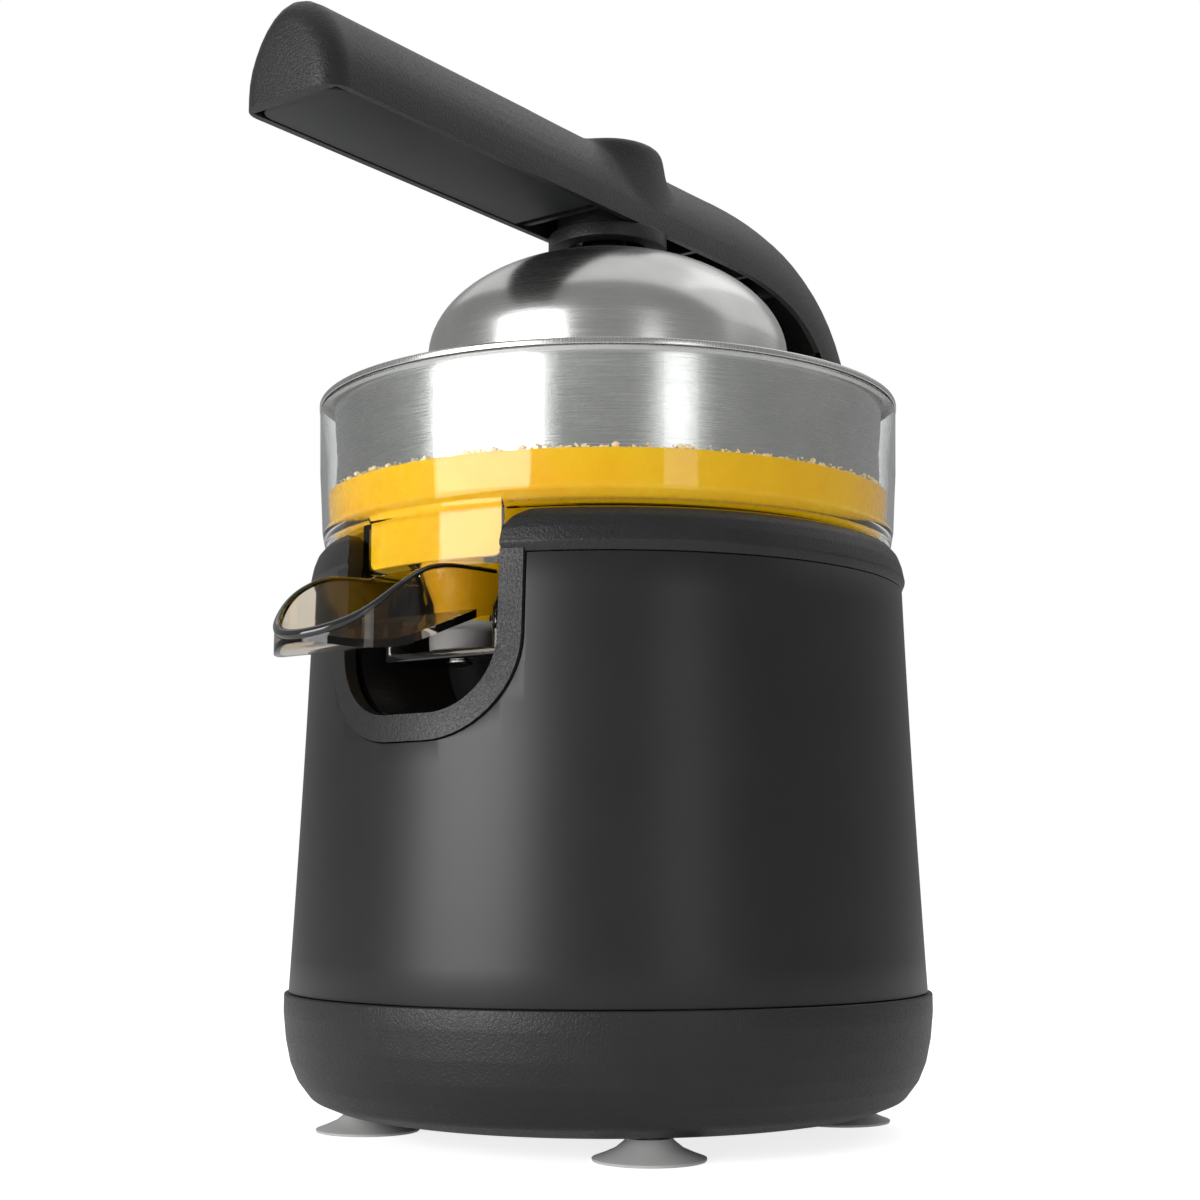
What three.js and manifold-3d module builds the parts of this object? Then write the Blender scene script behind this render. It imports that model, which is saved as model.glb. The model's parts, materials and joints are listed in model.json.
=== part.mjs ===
// Citrus press juicer: a motor base with a clear juice bowl, a steel strainer basket, a spinning
// reamer, a tilting drip-stop spout and a hinged arm that presses a steel cup down on half a fruit.
//
// Millimetres, +Z up. The spindle runs up the Z axis, the spout faces -Y, the arm's hinge is at
// the back (+Y), and the suction feet stand on Z = 0. Everything is shown at rest: arm down,
// spout tilted up against its seal, bowl seated.

import * as THREE from 'three';
import { mergeVertices } from 'three/addons/utils/BufferGeometryUtils.js';
import Module from 'manifold-3d';

const wasm = await Module();
wasm.setup();

// ---------------------------------------------------------------- driving dimensions

const GAP = 0.3; // clearance left between pieces that touch

const FOOT_RADIUS = 15;
const FOOT_CIRCLE = 70; // from the spindle axis to each foot's centre
const PAN_FLOOR_Z = 6;
const PAN_FLOOR = 3;
const PAN_RIM_Z = 39.4;
const SCREW_CIRCLE = 64;

const SHELL_FOOT = { z: 39.7, r: 93.5 };
const SHELL_TOP = { z: 156.2, r: 88.6 };
const SHELL_WALL = 1.2;
const SHELL_WAIST = 0.35; // how far the tapered wall curves in at mid height

const COLLAR_Z = 156.5;
const COLLAR_TOP_Z = 168.5;
const DECK_Z = 158;
const TOWER_TOP_Z = 180;

const NOTCH = { half: 27.3, corner: 20, bottom: 115 };
const BEZEL = { half: 33.5, corner: 27, bottom: 107.8 };
const BEZEL_STAND = 0.8; // how far the bezel stands out from the shell
const EAR_RADIUS = 8;

const OUTLET_Y = -68;
const OUTLET_Z = 141;
const SPOUT_HALF = 20;
const SPOUT_WALL = 1.8;
const SPOUT_PIVOT = { y: -48, z: 147 };

const BOWL_TOP_Z = 211.5;
const BOWL_FLOOR_Z = 169;
const BASKET_RIM = { r: 88.1, z: 214 };
const BASKET_WALL_R = 82.5;
const BASKET_FLOOR_Z = 181;
const FLOOR_SLOTS = 16; // slots through the basket's floor
const SHEET = 1; // steel sheet thickness

const SPINDLE_R = 4;
const SPINDLE_FOOT_Z = 92;
const SPINDLE_TOP_Z = 220;
const REAMER_BASE_Z = 186.5;
const REAMER_TIP_Z = 244;
const REAMER_FLUTES = 10;

const CUP_R = 55.5;
const CUP_CENTRE_Z = 230.7;
const CUP_RISE = 32.4;
const CUP_RIM_Z = 206;
const CUP_FLAT_Z = 262;
const CUP_PIVOT_Z = 272;

const ARM_HALF = 17;
const ARM_WALL = 2;
const ARM_UNDER_Z = 270;
const ARM_HEIGHT = 27.5;
const ARM_FRONT_Y = -140;
const ARM_BEND_Y = 45; // where the straight handle starts to curve down
const HUB_R = 18.5;
const HUB_BOTTOM_Z = 265.3;
const HUB_TOP_Z = 299;
const HINGE = { y: 120, z: 190 };
const HINGE_R = 20;
const LUG_HALF = 9;
const LUG_R = 14;

const PLATE_Z = 98; // underside of the motor chassis plate
const PLATE = 3;
const MODULE = 1.5; // gear tooth module
const TEETH = { output: 34, idlerSmall: 10, idlerBig: 30, pinion: 9 };
const IDLER = { x: 26.4, y: 19.8 };
const MOTOR_R = 21.5;
const MOTOR_MESH = (MODULE * (TEETH.idlerBig + TEETH.pinion)) / 2;
const MOTOR_Y = IDLER.y + Math.sqrt(MOTOR_MESH ** 2 - IDLER.x ** 2);

// ---------------------------------------------------------------- materials

function material(color, roughness, metalness) {
  return new THREE.MeshStandardMaterial({ color, roughness, metalness });
}

const texturedBlack = material(0x35353a, 0.55, 0);
const shellPaint = material(0x333236, 0.5, 0.1);
const innerBlack = material(0x141416, 0.6, 0);
const plateGreen = material(0x2f3331, 0.6, 0);
const brushedSteel = material(0xb9bbb8, 0.3, 1);
const clearPlastic = material(0xe4eceb, 0.08, 0);
const smokedPlastic = material(0x4a4238, 0.12, 0);
const greySilicone = material(0xbdbfbf, 0.55, 0);
const nylon = material(0xe9e6da, 0.5, 0);
const motorSteel = material(0x9a9ca0, 0.4, 0.9);
const bushBrass = material(0xb08d4a, 0.35, 1);
const boardGreen = material(0x2e6b3c, 0.6, 0);

// ---------------------------------------------------------------- solids

// Turns a closed geometry into a manifold solid, dropping the slivers on a lathe's axis.
function solid(geometry) {
  const bare = geometry.clone();
  bare.deleteAttribute('normal');
  bare.deleteAttribute('uv');
  const merged = mergeVertices(bare, 1e-4);
  const points = merged.attributes.position.array;
  const index = merged.index.array;
  const faces = [];
  let volume = 0;
  for (let i = 0; i < index.length; i += 3) {
    const [a, b, c] = [index[i], index[i + 1], index[i + 2]];
    if (a === b || b === c || c === a) continue;
    faces.push([a, b, c]);
    const [p, q, r] = [a, b, c].map((n) => new THREE.Vector3().fromArray(points, 3 * n));
    volume += p.dot(q.cross(r));
  }
  const outward = volume < 0 ? faces.map(([a, b, c]) => [a, c, b]) : faces;
  const mesh = new wasm.Mesh({
    numProp: 3,
    vertProperties: Float32Array.from(points),
    triVerts: Uint32Array.from(outward.flat()),
  });
  return new wasm.Manifold(mesh);
}

function join(first, ...rest) {
  return rest.reduce((whole, piece) => whole.add(piece), first);
}

function cut(first, ...rest) {
  return rest.reduce((whole, piece) => whole.subtract(piece), first);
}

// A solid of revolution about Z from [radius, z] points.
function turned(profile, segments = 32) {
  const points = profile.map(([r, z]) => new THREE.Vector2(r, z));
  const closed = profile[0][0] === 0 && profile.at(-1)[0] === 0;
  if (!closed) points.push(points[0].clone());
  return solid(new THREE.LatheGeometry(points, segments).rotateX(Math.PI / 2));
}

function outline(points) {
  return new THREE.Shape(points.map(([a, b]) => new THREE.Vector2(a, b)));
}

// An [x, y] outline raised from z0 to z1.
function raised(shape, z0, z1, curveSegments = 8) {
  const geometry = new THREE.ExtrudeGeometry(shape, { depth: z1 - z0, bevelEnabled: false, curveSegments });
  return solid(geometry.translate(0, 0, z0));
}

// A [y, z] outline extruded along X from x0 to x1.
function sideways(shape, x0, x1, curveSegments = 8) {
  const geometry = new THREE.ExtrudeGeometry(shape, { depth: x1 - x0, bevelEnabled: false, curveSegments });
  const turn = new THREE.Matrix4().makeBasis(
    new THREE.Vector3(0, 1, 0), new THREE.Vector3(0, 0, 1), new THREE.Vector3(1, 0, 0));
  return solid(geometry.applyMatrix4(turn).translate(x0, 0, 0));
}

// An [x, z] outline extruded along Y from y0 to y1.
function lengthways(shape, y0, y1, curveSegments = 8) {
  const geometry = new THREE.ExtrudeGeometry(shape, { depth: y1 - y0, bevelEnabled: false, curveSegments });
  const turn = new THREE.Matrix4().makeBasis(
    new THREE.Vector3(1, 0, 0), new THREE.Vector3(0, 0, 1), new THREE.Vector3(0, -1, 0));
  return solid(geometry.applyMatrix4(turn).translate(0, y1, 0));
}

function box(x0, x1, y0, y1, z0, z1) {
  const geometry = new THREE.BoxGeometry(x1 - x0, y1 - y0, z1 - z0);
  return solid(geometry.translate((x0 + x1) / 2, (y0 + y1) / 2, (z0 + z1) / 2));
}

function rod(axis, radius, from, to, at = [0, 0], segments = 12) {
  const geometry = new THREE.CylinderGeometry(radius, radius, to - from, segments);
  const middle = (from + to) / 2;
  if (axis === 'x') return solid(geometry.rotateZ(Math.PI / 2).translate(middle, at[0], at[1]));
  if (axis === 'y') return solid(geometry.translate(at[0], middle, at[1]));
  return solid(geometry.rotateX(Math.PI / 2).translate(at[0], at[1], middle));
}

function tube(axis, outer, inner, from, to, at, segments) {
  return cut(rod(axis, outer, from, to, at, segments), rod(axis, inner, from - 1, to + 1, at, segments));
}

// ---------------------------------------------------------------- scene graph

const juicer = new THREE.Group();
const base = new THREE.Group();
const drive = new THREE.Group();
const vessel = new THREE.Group();
const spoutSet = new THREE.Group();
const armSet = new THREE.Group();
juicer.add(base, drive, vessel, spoutSet, armSet);

function place(group, name, piece, finish, position = [0, 0, 0]) {
  const { vertProperties, triVerts } = piece.getMesh();
  const geometry = new THREE.BufferGeometry();
  geometry.setAttribute('position', new THREE.BufferAttribute(vertProperties, 3));
  geometry.setIndex(new THREE.BufferAttribute(triVerts, 1));
  geometry.computeVertexNormals();
  const mesh = new THREE.Mesh(geometry, finish);
  mesh.name = name;
  mesh.position.set(...position);
  group.add(mesh);
}

// ---------------------------------------------------------------- shared outlines

function shellRadius(z) {
  const t = (z - SHELL_FOOT.z) / (SHELL_TOP.z - SHELL_FOOT.z);
  return SHELL_FOOT.r + (SHELL_TOP.r - SHELL_FOOT.r) * t - 4 * SHELL_WAIST * t * (1 - t);
}

function shellLine(offset, from, to, steps = 3) {
  const line = [];
  for (let i = 0; i <= steps; i += 1) {
    const z = from + ((to - from) * i) / steps;
    line.push([shellRadius(z) + offset, z]);
  }
  return line;
}

// The U of the front opening: straight sides up to `top`, round lower corners.
function frontU({ half, corner, bottom }, offset, top) {
  const r = corner + offset;
  const x = half - corner;
  const z = bottom + corner;
  const shape = new THREE.Shape();
  shape.moveTo(-half - offset, top);
  shape.lineTo(-half - offset, z);
  shape.absarc(-x, z, r, Math.PI, 1.5 * Math.PI, false);
  shape.absarc(x, z, r, 1.5 * Math.PI, 2 * Math.PI, false);
  shape.lineTo(half + offset, top);
  return shape;
}

// The notch cut out of the collar's ring, flared at the top so its two ears are rounded.
function earNotch() {
  const side = NOTCH.half + EAR_RADIUS;
  const z = COLLAR_TOP_Z - EAR_RADIUS;
  const shape = new THREE.Shape();
  shape.moveTo(-NOTCH.half, DECK_Z - 12);
  shape.lineTo(NOTCH.half, DECK_Z - 12);
  shape.lineTo(NOTCH.half, z);
  shape.absarc(side, z, EAR_RADIUS, Math.PI, 0.5 * Math.PI, true);
  shape.lineTo(side, COLLAR_TOP_Z + 4);
  shape.lineTo(-side, COLLAR_TOP_Z + 4);
  shape.absarc(-side, z, EAR_RADIUS, 0.5 * Math.PI, 0, true);
  return shape;
}

// ---------------------------------------------------------------- base and casing

const FOOT_ANGLES = [45, 135, 225, 315];
const SCREW_ANGLES = [0, 90, 180, 270];
const GROMMET_Z = 24;

function polar(radius, degrees) {
  const angle = THREE.MathUtils.degToRad(degrees);
  return [radius * Math.cos(angle), radius * Math.sin(angle)];
}

function addFeet() {
  const cup = turned([
    [0, 3], [11.5, 0], [FOOT_RADIUS, 0], [FOOT_RADIUS, 0.8], [6, PAN_FLOOR_Z - GAP],
    [3.5, PAN_FLOOR_Z - GAP], [3.5, 9.3], [5, 9.3], [4, 11], [0, 11],
  ], 16);
  FOOT_ANGLES.forEach((angle, i) => {
    place(base, `foot_${i + 1}`, cup, greySilicone, [...polar(FOOT_CIRCLE, angle), 0]);
  });
}

function addBasePan() {
  const wall = turned([
    [0, PAN_FLOOR_Z], [76, PAN_FLOOR_Z], [86.4, 9.3], [91.6, 18], [94.8, 34], [94.8, PAN_RIM_Z],
    [91, PAN_RIM_Z], [90.8, 44], [88.8, 44], [88.5, 20], [78, PAN_FLOOR_Z + PAN_FLOOR],
    [0, PAN_FLOOR_Z + PAN_FLOOR],
  ]);
  const cuts = [rod('y', 5.2, 80, 100, [0, GROMMET_Z])];
  const bosses = [];
  for (const angle of FOOT_ANGLES) cuts.push(rod('z', 3.8, 0, 20, polar(FOOT_CIRCLE, angle)));
  for (const angle of SCREW_ANGLES) {
    const at = polar(SCREW_CIRCLE, angle);
    bosses.push(rod('z', 6, 7, 12, at, 8));
    cuts.push(rod('z', 3.7, 0, 8.7, at, 8), rod('z', 1.8, 0, 20, at, 6));
  }
  for (const side of [-1, 1]) bosses.push(rod('z', 3, 8, 19.7, [-38, side * 12], 8));
  for (let i = -2; i <= 2; i += 1) cuts.push(box(-18, 18, i * 9 - 2, i * 9 + 2, 0, 20));
  place(base, 'base_pan', cut(join(wall, ...bosses), ...cuts), texturedBlack);

  const screw = join(rod('z', 3.2, 6.6, 8.4, [0, 0], 8), rod('z', 1.4, 8.2, 22, [0, 0], 6));
  SCREW_ANGLES.forEach((angle, i) => {
    place(base, `base_screw_${i + 1}`, screw, motorSteel, [...polar(SCREW_CIRCLE, angle), 0]);
  });

  const grommet = cut(
    join(rod('y', 4.9, 86, 95, [0, GROMMET_Z]), rod('y', 7, 94.9, 96.9, [0, GROMMET_Z])),
    rod('y', 3.2, 80, 100, [0, GROMMET_Z]));
  place(base, 'cord_grommet', grommet, innerBlack);
}

function addOuterShell() {
  const { z: z0 } = SHELL_FOOT;
  const { z: z1 } = SHELL_TOP;
  const sleeve = turned([...shellLine(0, z0, z1), ...shellLine(-SHELL_WALL, z1, z0, 1)]);
  const opening = lengthways(frontU(BEZEL, GAP, z1 + 5), -110, -40);
  const holes = COLUMN_SCREW_Z.map((z) => rod('y', 1.8, 80, 110, [0, z], 8));
  place(base, 'outer_shell', cut(sleeve, opening, ...holes), shellPaint);
}

function addCollar() {
  const ring = turned([
    [84, COLLAR_Z], [88.6, COLLAR_Z], [89.6, 159], [88.8, 163], [87.7, 166], [85.6, COLLAR_TOP_Z],
    [82, COLLAR_TOP_Z], [82, DECK_Z],
  ]);
  const lip = turned([[84, 145], [87, 145], [87, 157.5], [84, 157.5]]);
  const deck = turned([[5.6, DECK_Z], [83, DECK_Z], [83, DECK_Z + 2.5], [5.6, DECK_Z + 2.5]]);
  const tower = turned([[5.6, 150], [8.6, 150], [8.6, TOWER_TOP_Z], [5.6, TOWER_TOP_Z]], 24);
  const band = turned([
    ...shellLine(BEZEL_STAND, 104, COLLAR_Z + 0.5, 2), ...shellLine(-3.5, COLLAR_Z + 0.5, 104, 1),
  ]);
  const bezel = band.intersect(lengthways(frontU(BEZEL, 0, COLLAR_Z + 0.5), -110, -70));
  const cuts = [
    lengthways(frontU(NOTCH, 0, DECK_Z), -110, -70),
    lengthways(earNotch(), -110, -60),
    box(-NOTCH.half, NOTCH.half, -100, -41, 140, COLLAR_TOP_Z + 5),
  ];
  place(base, 'collar', cut(join(ring, lip, deck, tower, bezel), ...cuts), texturedBlack);
}

function addRecessLiner() {
  const outside = lengthways(frontU(NOTCH, 2, 156.5), -100, -40);
  const inside = lengthways(frontU(NOTCH, 0, 170), -101, -42);
  const frontFace = turned([[0, 100], [83.6, 100], [83.6, 170], [0, 170]]);
  const pivotHoles = rod('x', 2.3, -40, 40, [SPOUT_PIVOT.y, SPOUT_PIVOT.z], 10);
  const liner = cut(outside, inside, pivotHoles).intersect(frontFace);
  place(base, 'recess_liner', liner, innerBlack);
}

const COLUMN_SCREW_Z = [72, 138];

function addRearColumn() {
  const back = new THREE.Shape();
  back.moveTo(80, 52);
  back.lineTo(104, 52);
  back.splineThru([new THREE.Vector2(120, 80), new THREE.Vector2(131, 125), new THREE.Vector2(130, 158)]);
  back.quadraticCurveTo(129, 167, 121, 168);
  back.lineTo(80, 168);
  const hollow = outline([[70, 57], [101, 57], [115, 84], [126.5, 125], [126, 157], [118, 164], [70, 164]]);
  const bosses = COLUMN_SCREW_Z.map((z) => rod('y', 4.5, 85, z > 100 ? 128 : 113, [0, z], 10));
  const spine = join(
    cut(sideways(back, -18, 18, 4), sideways(hollow, -15, 15)),
    ...bosses);
  const neck = sideways(outline([[101, 164], [125, 164], [126, 176], [131, 186], [120, 203], [106, 186],
    [104, 176]]), -LUG_HALF, LUG_HALF);
  const lug = rod('x', LUG_R, -LUG_HALF, LUG_HALF, [HINGE.y, HINGE.z], 16);
  const post = box(-7, 7, HINGE.y - 5, HINGE.y + 5, 196, 207.7);
  const casing = turned([
    [0, 30], ...shellLine(GAP, SHELL_FOOT.z, SHELL_TOP.z), [88.9, COLLAR_Z - 0.2], [89.9, 159], [89.1, 163],
    [89.1, 190], [0, 190],
  ]);
  const holes = [
    casing,
    rod('x', 4.3, -20, 20, [HINGE.y, HINGE.z], 12),
    ...COLUMN_SCREW_Z.map((z) => rod('y', 1.8, 80, 105, [0, z], 8)),
  ];
  place(base, 'rear_column', cut(join(spine, neck, lug, post), ...holes), texturedBlack);

  COLUMN_SCREW_Z.forEach((z, i) => {
    const seat = shellRadius(z) - SHELL_WALL - GAP;
    const screw = join(rod('y', 3.5, seat - 2.4, seat, [0, z], 10), rod('y', 1.5, seat - 1, 103, [0, z], 6));
    place(base, `column_screw_${i + 1}`, screw, motorSteel);
  });

  const pad = box(-6, 6, HINGE.y - 3, HINGE.y + 3, 208, 210.6);
  place(base, 'arm_stop_pad', pad, greySilicone);

  const pin = rod('x', 4, -15.4, 15.4, [HINGE.y, HINGE.z], 12);
  place(base, 'arm_hinge_pin', pin, motorSteel);
}

// ---------------------------------------------------------------- motor and gears

// A straight-flanked gear outline with one tooth centred on `phase`.
function gearShape(teeth, phase) {
  const pitchR = (MODULE * teeth) / 2;
  const step = (2 * Math.PI) / teeth;
  const shape = new THREE.Shape();
  const flank = [[-0.27, -1.2], [-0.1, 0.85], [0.1, 0.85], [0.27, -1.2]];
  for (let i = 0; i < teeth; i += 1) {
    flank.forEach(([share, height], n) => {
      const angle = phase + (i + share) * step;
      const r = pitchR + height * MODULE;
      const point = [r * Math.cos(angle), r * Math.sin(angle)];
      if (i === 0 && n === 0) shape.moveTo(...point);
      else shape.lineTo(...point);
    });
  }
  return shape;
}

const TO_IDLER = Math.atan2(IDLER.y, IDLER.x);
const TO_MOTOR = Math.atan2(MOTOR_Y - IDLER.y, -IDLER.x);

function addChassis() {
  const plate = turned([[0, PLATE_Z], [70, PLATE_Z], [70, PLATE_Z + PLATE], [0, PLATE_Z + PLATE]], 24);
  const legs = SCREW_ANGLES.map((angle) => rod('z', 5, 12.3, PLATE_Z + 1, polar(SCREW_CIRCLE, angle), 10));
  const guide = rod('z', 9.8, 66, PLATE_Z + 1, [0, 0], 16);
  const cheeks = [box(-12.3, -10.3, -4, 4, 54, 70), box(10.3, 12.3, -4, 4, 54, 70)];
  const ties = [box(-12.3, -8, -4, 4, 66, 70), box(8, 12.3, -4, 4, 66, 70)];
  const cuts = [
    rod('z', 8.3, 68, PLATE_Z - 1, [0, 0], 16),
    rod('z', 6.3, 60, 110, [0, 0], 16).intersect(box(-9, 9, -9, 9, PLATE_Z - 2, 110)),
    rod('z', 2.8, 60, 70, [0, 0], 10),
    rod('z', 6.5, 90, 110, [0, MOTOR_Y], 16),
    rod('z', 2.1, 90, 110, [IDLER.x, IDLER.y], 10),
    ...SCREW_ANGLES.map((angle) => rod('z', 1.8, 10, 24, polar(SCREW_CIRCLE, angle), 8)),
    ...MOTOR_SCREWS.map((at) => rod('z', 1.9, 90, 110, at, 8)),
    ...COVER_SCREWS.map((at) => rod('z', 1.5, 90, 110, at, 8)),
  ];
  place(drive, 'chassis', cut(join(plate, guide, ...legs, ...cheeks, ...ties), ...cuts), innerBlack);
}

const MOTOR_SCREWS = [[-14, MOTOR_Y], [14, MOTOR_Y]];
const COVER_SCREWS = [[-26.5, 18], [30, -12.8]];

function addMotor() {
  const can = cut(
    rod('z', MOTOR_R, 44, PLATE_Z - GAP, [0, MOTOR_Y], 20),
    rod('z', MOTOR_R - 1.6, 40, 94, [0, MOTOR_Y], 20),
    rod('z', 3.4, 90, 100, [0, MOTOR_Y], 10),
    ...MOTOR_SCREWS.map((at) => rod('z', 1.8, 92, 100, at, 8)));
  place(drive, 'motor_can', can, motorSteel);

  const bell = cut(
    join(rod('z', MOTOR_R, 38, 43.7, [0, MOTOR_Y], 20), rod('z', MOTOR_R - 2, 43, 47, [0, MOTOR_Y], 20)),
    rod('z', 3.4, 30, 60, [0, MOTOR_Y], 10),
    rod('z', MOTOR_R - 5, 40.5, 60, [0, MOTOR_Y], 20));
  place(drive, 'motor_end_bell', bell, innerBlack);

  const screw = join(rod('z', 3, PLATE_Z + PLATE + GAP, 103, [0, 0], 8), rod('z', 1.4, 95, 102, [0, 0], 6));
  MOTOR_SCREWS.forEach(([x, y], i) => {
    place(drive, `motor_screw_${i + 1}`, screw, motorSteel, [x, y, 0]);
  });

  const shaft = rod('z', 2, 25, 112, [0, MOTOR_Y], 10);
  place(drive, 'rotor_shaft', shaft, motorSteel);

  const core = tube('z', 16, 2.3, 52, 88, [0, MOTOR_Y], 16);
  place(drive, 'rotor_core', core, bushBrass);

  const blades = [];
  for (let i = 0; i < 8; i += 1) {
    const blade = box(3, 18, -0.8, 0.8, 27, 35).rotate([0, 0, i * 45]);
    blades.push(blade.translate([0, MOTOR_Y, 0]));
  }
  const fan = cut(
    join(rod('z', 5, 27, 36, [0, MOTOR_Y], 12), rod('z', 18, 26, 27.5, [0, MOTOR_Y], 16), ...blades),
    rod('z', 2.3, 20, 40, [0, MOTOR_Y], 10));
  place(drive, 'cooling_fan', fan, nylon);
}

function addGears() {
  const pinionPhase = TO_MOTOR + Math.PI + Math.PI / TEETH.pinion;
  const pinion = cut(
    raised(gearShape(TEETH.pinion, pinionPhase), 103.5, 110).translate([0, MOTOR_Y, 0]),
    rod('z', 2.3, 100, 115, [0, MOTOR_Y], 10));
  place(drive, 'motor_pinion', pinion, bushBrass);

  const idlerPhase = TO_IDLER + Math.PI + Math.PI / TEETH.idlerSmall;
  const idler = cut(
    join(
      raised(gearShape(TEETH.idlerBig, TO_MOTOR), 104, 109).translate([IDLER.x, IDLER.y, 0]),
      raised(gearShape(TEETH.idlerSmall, idlerPhase), 108.5, 119).translate([IDLER.x, IDLER.y, 0])),
    rod('z', 2.1, 100, 125, [IDLER.x, IDLER.y], 10));
  place(drive, 'idler_gear', idler, nylon);
  place(drive, 'idler_pin', rod('z', 1.8, PLATE_Z, 123, [IDLER.x, IDLER.y], 10), motorSteel);

  const output = cut(
    join(raised(gearShape(TEETH.output, TO_IDLER), 110.5, 118), rod('z', 9, 104, 120, [0, 0], 16)),
    rod('z', SPINDLE_R + GAP, 100, 125, [0, 0], 12));
  place(drive, 'output_gear', output, nylon);
}

function addGearboxCover() {
  const z0 = PLATE_Z + PLATE + GAP;
  const z1 = 125;
  const lobes = [[0, 0, 27.5], [IDLER.x, IDLER.y, 25.5], [0, MOTOR_Y, 9.5]];
  const shroud = (grow, bottom, top) => join(
    ...lobes.map(([x, y, r]) => rod('z', r + grow, bottom, top, [x, y], 20)));
  const ears = COVER_SCREWS.map((at) => rod('z', 4.5, z0, z0 + 3, at, 10));
  const wall = cut(join(shroud(1.5, z0, z1), ...ears), shroud(0, z0 - 1, z1 - 2));
  const cuts = [
    rod('z', 6.3, 115, 130, [0, 0], 16),
    rod('z', 2.1, 115, 124, [IDLER.x, IDLER.y], 10),
    ...COVER_SCREWS.map((at) => rod('z', 1.8, z0 - 1, z0 + 4, at, 8)),
  ];
  place(drive, 'gearbox_cover', cut(wall, ...cuts), innerBlack);

  const screw = join(
    rod('z', 2.8, z0 + 3 + GAP, z0 + 5, [0, 0], 8), rod('z', 1.2, PLATE_Z, z0 + 4, [0, 0], 6));
  COVER_SCREWS.forEach(([x, y], i) => {
    place(drive, `gearbox_screw_${i + 1}`, screw, motorSteel, [x, y, 0]);
  });
}

function addSpindle() {
  place(drive, 'lower_bush', join(tube('z', 6, 4.2, 97, 103.5), tube('z', 8, 4.2, 101.4, 103.5)), bushBrass);
  place(drive, 'upper_bush', join(tube('z', 6, 4.2, 120.4, 127), tube('z', 8, 4.2, 125.3, 127)), bushBrass);
  place(drive, 'shaft_seal', tube('z', 5.3, 4.2, 172, 179, [0, 0], 16), innerBlack);

  const hexTop = new THREE.CylinderGeometry(SPINDLE_R, SPINDLE_R, 22, 6);
  hexTop.rotateX(Math.PI / 2).translate(0, 0, SPINDLE_TOP_Z - 11);
  const shaft = join(rod('z', SPINDLE_R - 0.05, SPINDLE_FOOT_Z, SPINDLE_TOP_Z - 21), solid(hexTop));
  place(drive, 'spindle', shaft, brushedSteel);

  const plunger = join(
    rod('z', 7.8, 88, SPINDLE_FOOT_Z - GAP, [0, 0], 16), rod('z', 2.4, 68.3, 89, [0, 0], 8));
  place(drive, 'plunger', plunger, nylon);

  place(drive, 'spindle_spring', coil(5.4, 0.6, 69, 87.3, 5), motorSteel);

  const body = cut(box(-9.9, 9.9, -3.6, 3.6, 54, 65.7), rod('z', 2.2, 60, 70, [0, 0], 8));
  place(drive, 'microswitch', body, innerBlack);
  place(drive, 'switch_button', rod('z', 1.8, 63, 68, [0, 0], 8), nylon);
  place(drive, 'circuit_board', box(-47, -29, -18, 18, 20, 21.6), boardGreen);
}

// A round-wire helical spring standing on the Z axis.
function coil(radius, wire, z0, z1, turns) {
  class Helix extends THREE.Curve {
    getPoint(t, target = new THREE.Vector3()) {
      const angle = 2 * Math.PI * turns * t;
      const rise = z0 + wire + (z1 - z0 - 2 * wire) * t;
      return target.set(radius * Math.cos(angle), radius * Math.sin(angle), rise);
    }
  }
  const section = outline([0, 1, 2, 3, 4].map((i) => [
    wire * Math.cos(i * 0.4 * Math.PI), wire * Math.sin(i * 0.4 * Math.PI),
  ]));
  return solid(new THREE.ExtrudeGeometry(section, {
    extrudePath: new Helix(), steps: turns * 9, bevelEnabled: false,
  }));
}

// ---------------------------------------------------------------- bowl, basket and reamer

function addBowl() {
  const walls = turned([
    [9, BOWL_FLOOR_Z], [84, BOWL_FLOOR_Z], [86, 171], [87, 184], [87.9, BOWL_TOP_Z],
    [85.9, BOWL_TOP_Z], [85, 184], [84, 173], [82, 171], [11, 171], [11, 190], [9, 190],
  ]);
  const reach = turned([[0, 140], [84.8, 140], [84.8, 172], [0, 172]]);
  const inner = turned([[0, 140], [82.8, 140], [82.8, 176], [0, 176]]);
  const pocket = box(-25.5, 25.5, -100, -45, 154.5, 170).intersect(reach);
  const pocketInside = box(-23.5, 23.5, -100, -47, 156.5, 176).intersect(inner);
  const funnel = turned([[0, OUTLET_Z], [9.5, OUTLET_Z], [10, 146], [14, 154.6], [14, 156], [0, 156]], 28);
  const bore = turned([[0, 138], [7.7, 138], [8.2, 146.3], [12, 154.8], [12, 160], [0, 160]], 28);
  const at = [0, OUTLET_Y, 0];
  const bowl = cut(join(walls, pocket, funnel.translate(at)), pocketInside, bore.translate(at));
  place(vessel, 'juice_bowl', bowl, clearPlastic);
}

function addBasket() {
  const floor = BASKET_FLOOR_Z;
  const rim = BASKET_RIM.z;
  const sheet = turned([
    [12.5, floor], [79.5, floor], [BASKET_WALL_R, floor + 3], [BASKET_WALL_R, rim - 1.4],
    [86.6, rim - 1.2], [86.8, rim - 2.2], [BASKET_RIM.r, rim - 2.2], [BASKET_RIM.r, rim],
    [BASKET_WALL_R - SHEET, rim], [BASKET_WALL_R - SHEET, floor + 3.4], [79.2, floor + SHEET],
    [13.5, floor + SHEET], [13.5, 196], [12.5, 196],
  ]);
  const slots = [];
  for (let i = 0; i < FLOOR_SLOTS; i += 1) {
    slots.push(box(46, 76, -1, 1, floor - 3, floor + 3).rotate([0, 0, (i * 360) / FLOOR_SLOTS]));
  }
  place(vessel, 'filter_basket', cut(sheet, ...slots), brushedSteel);
}

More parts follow.
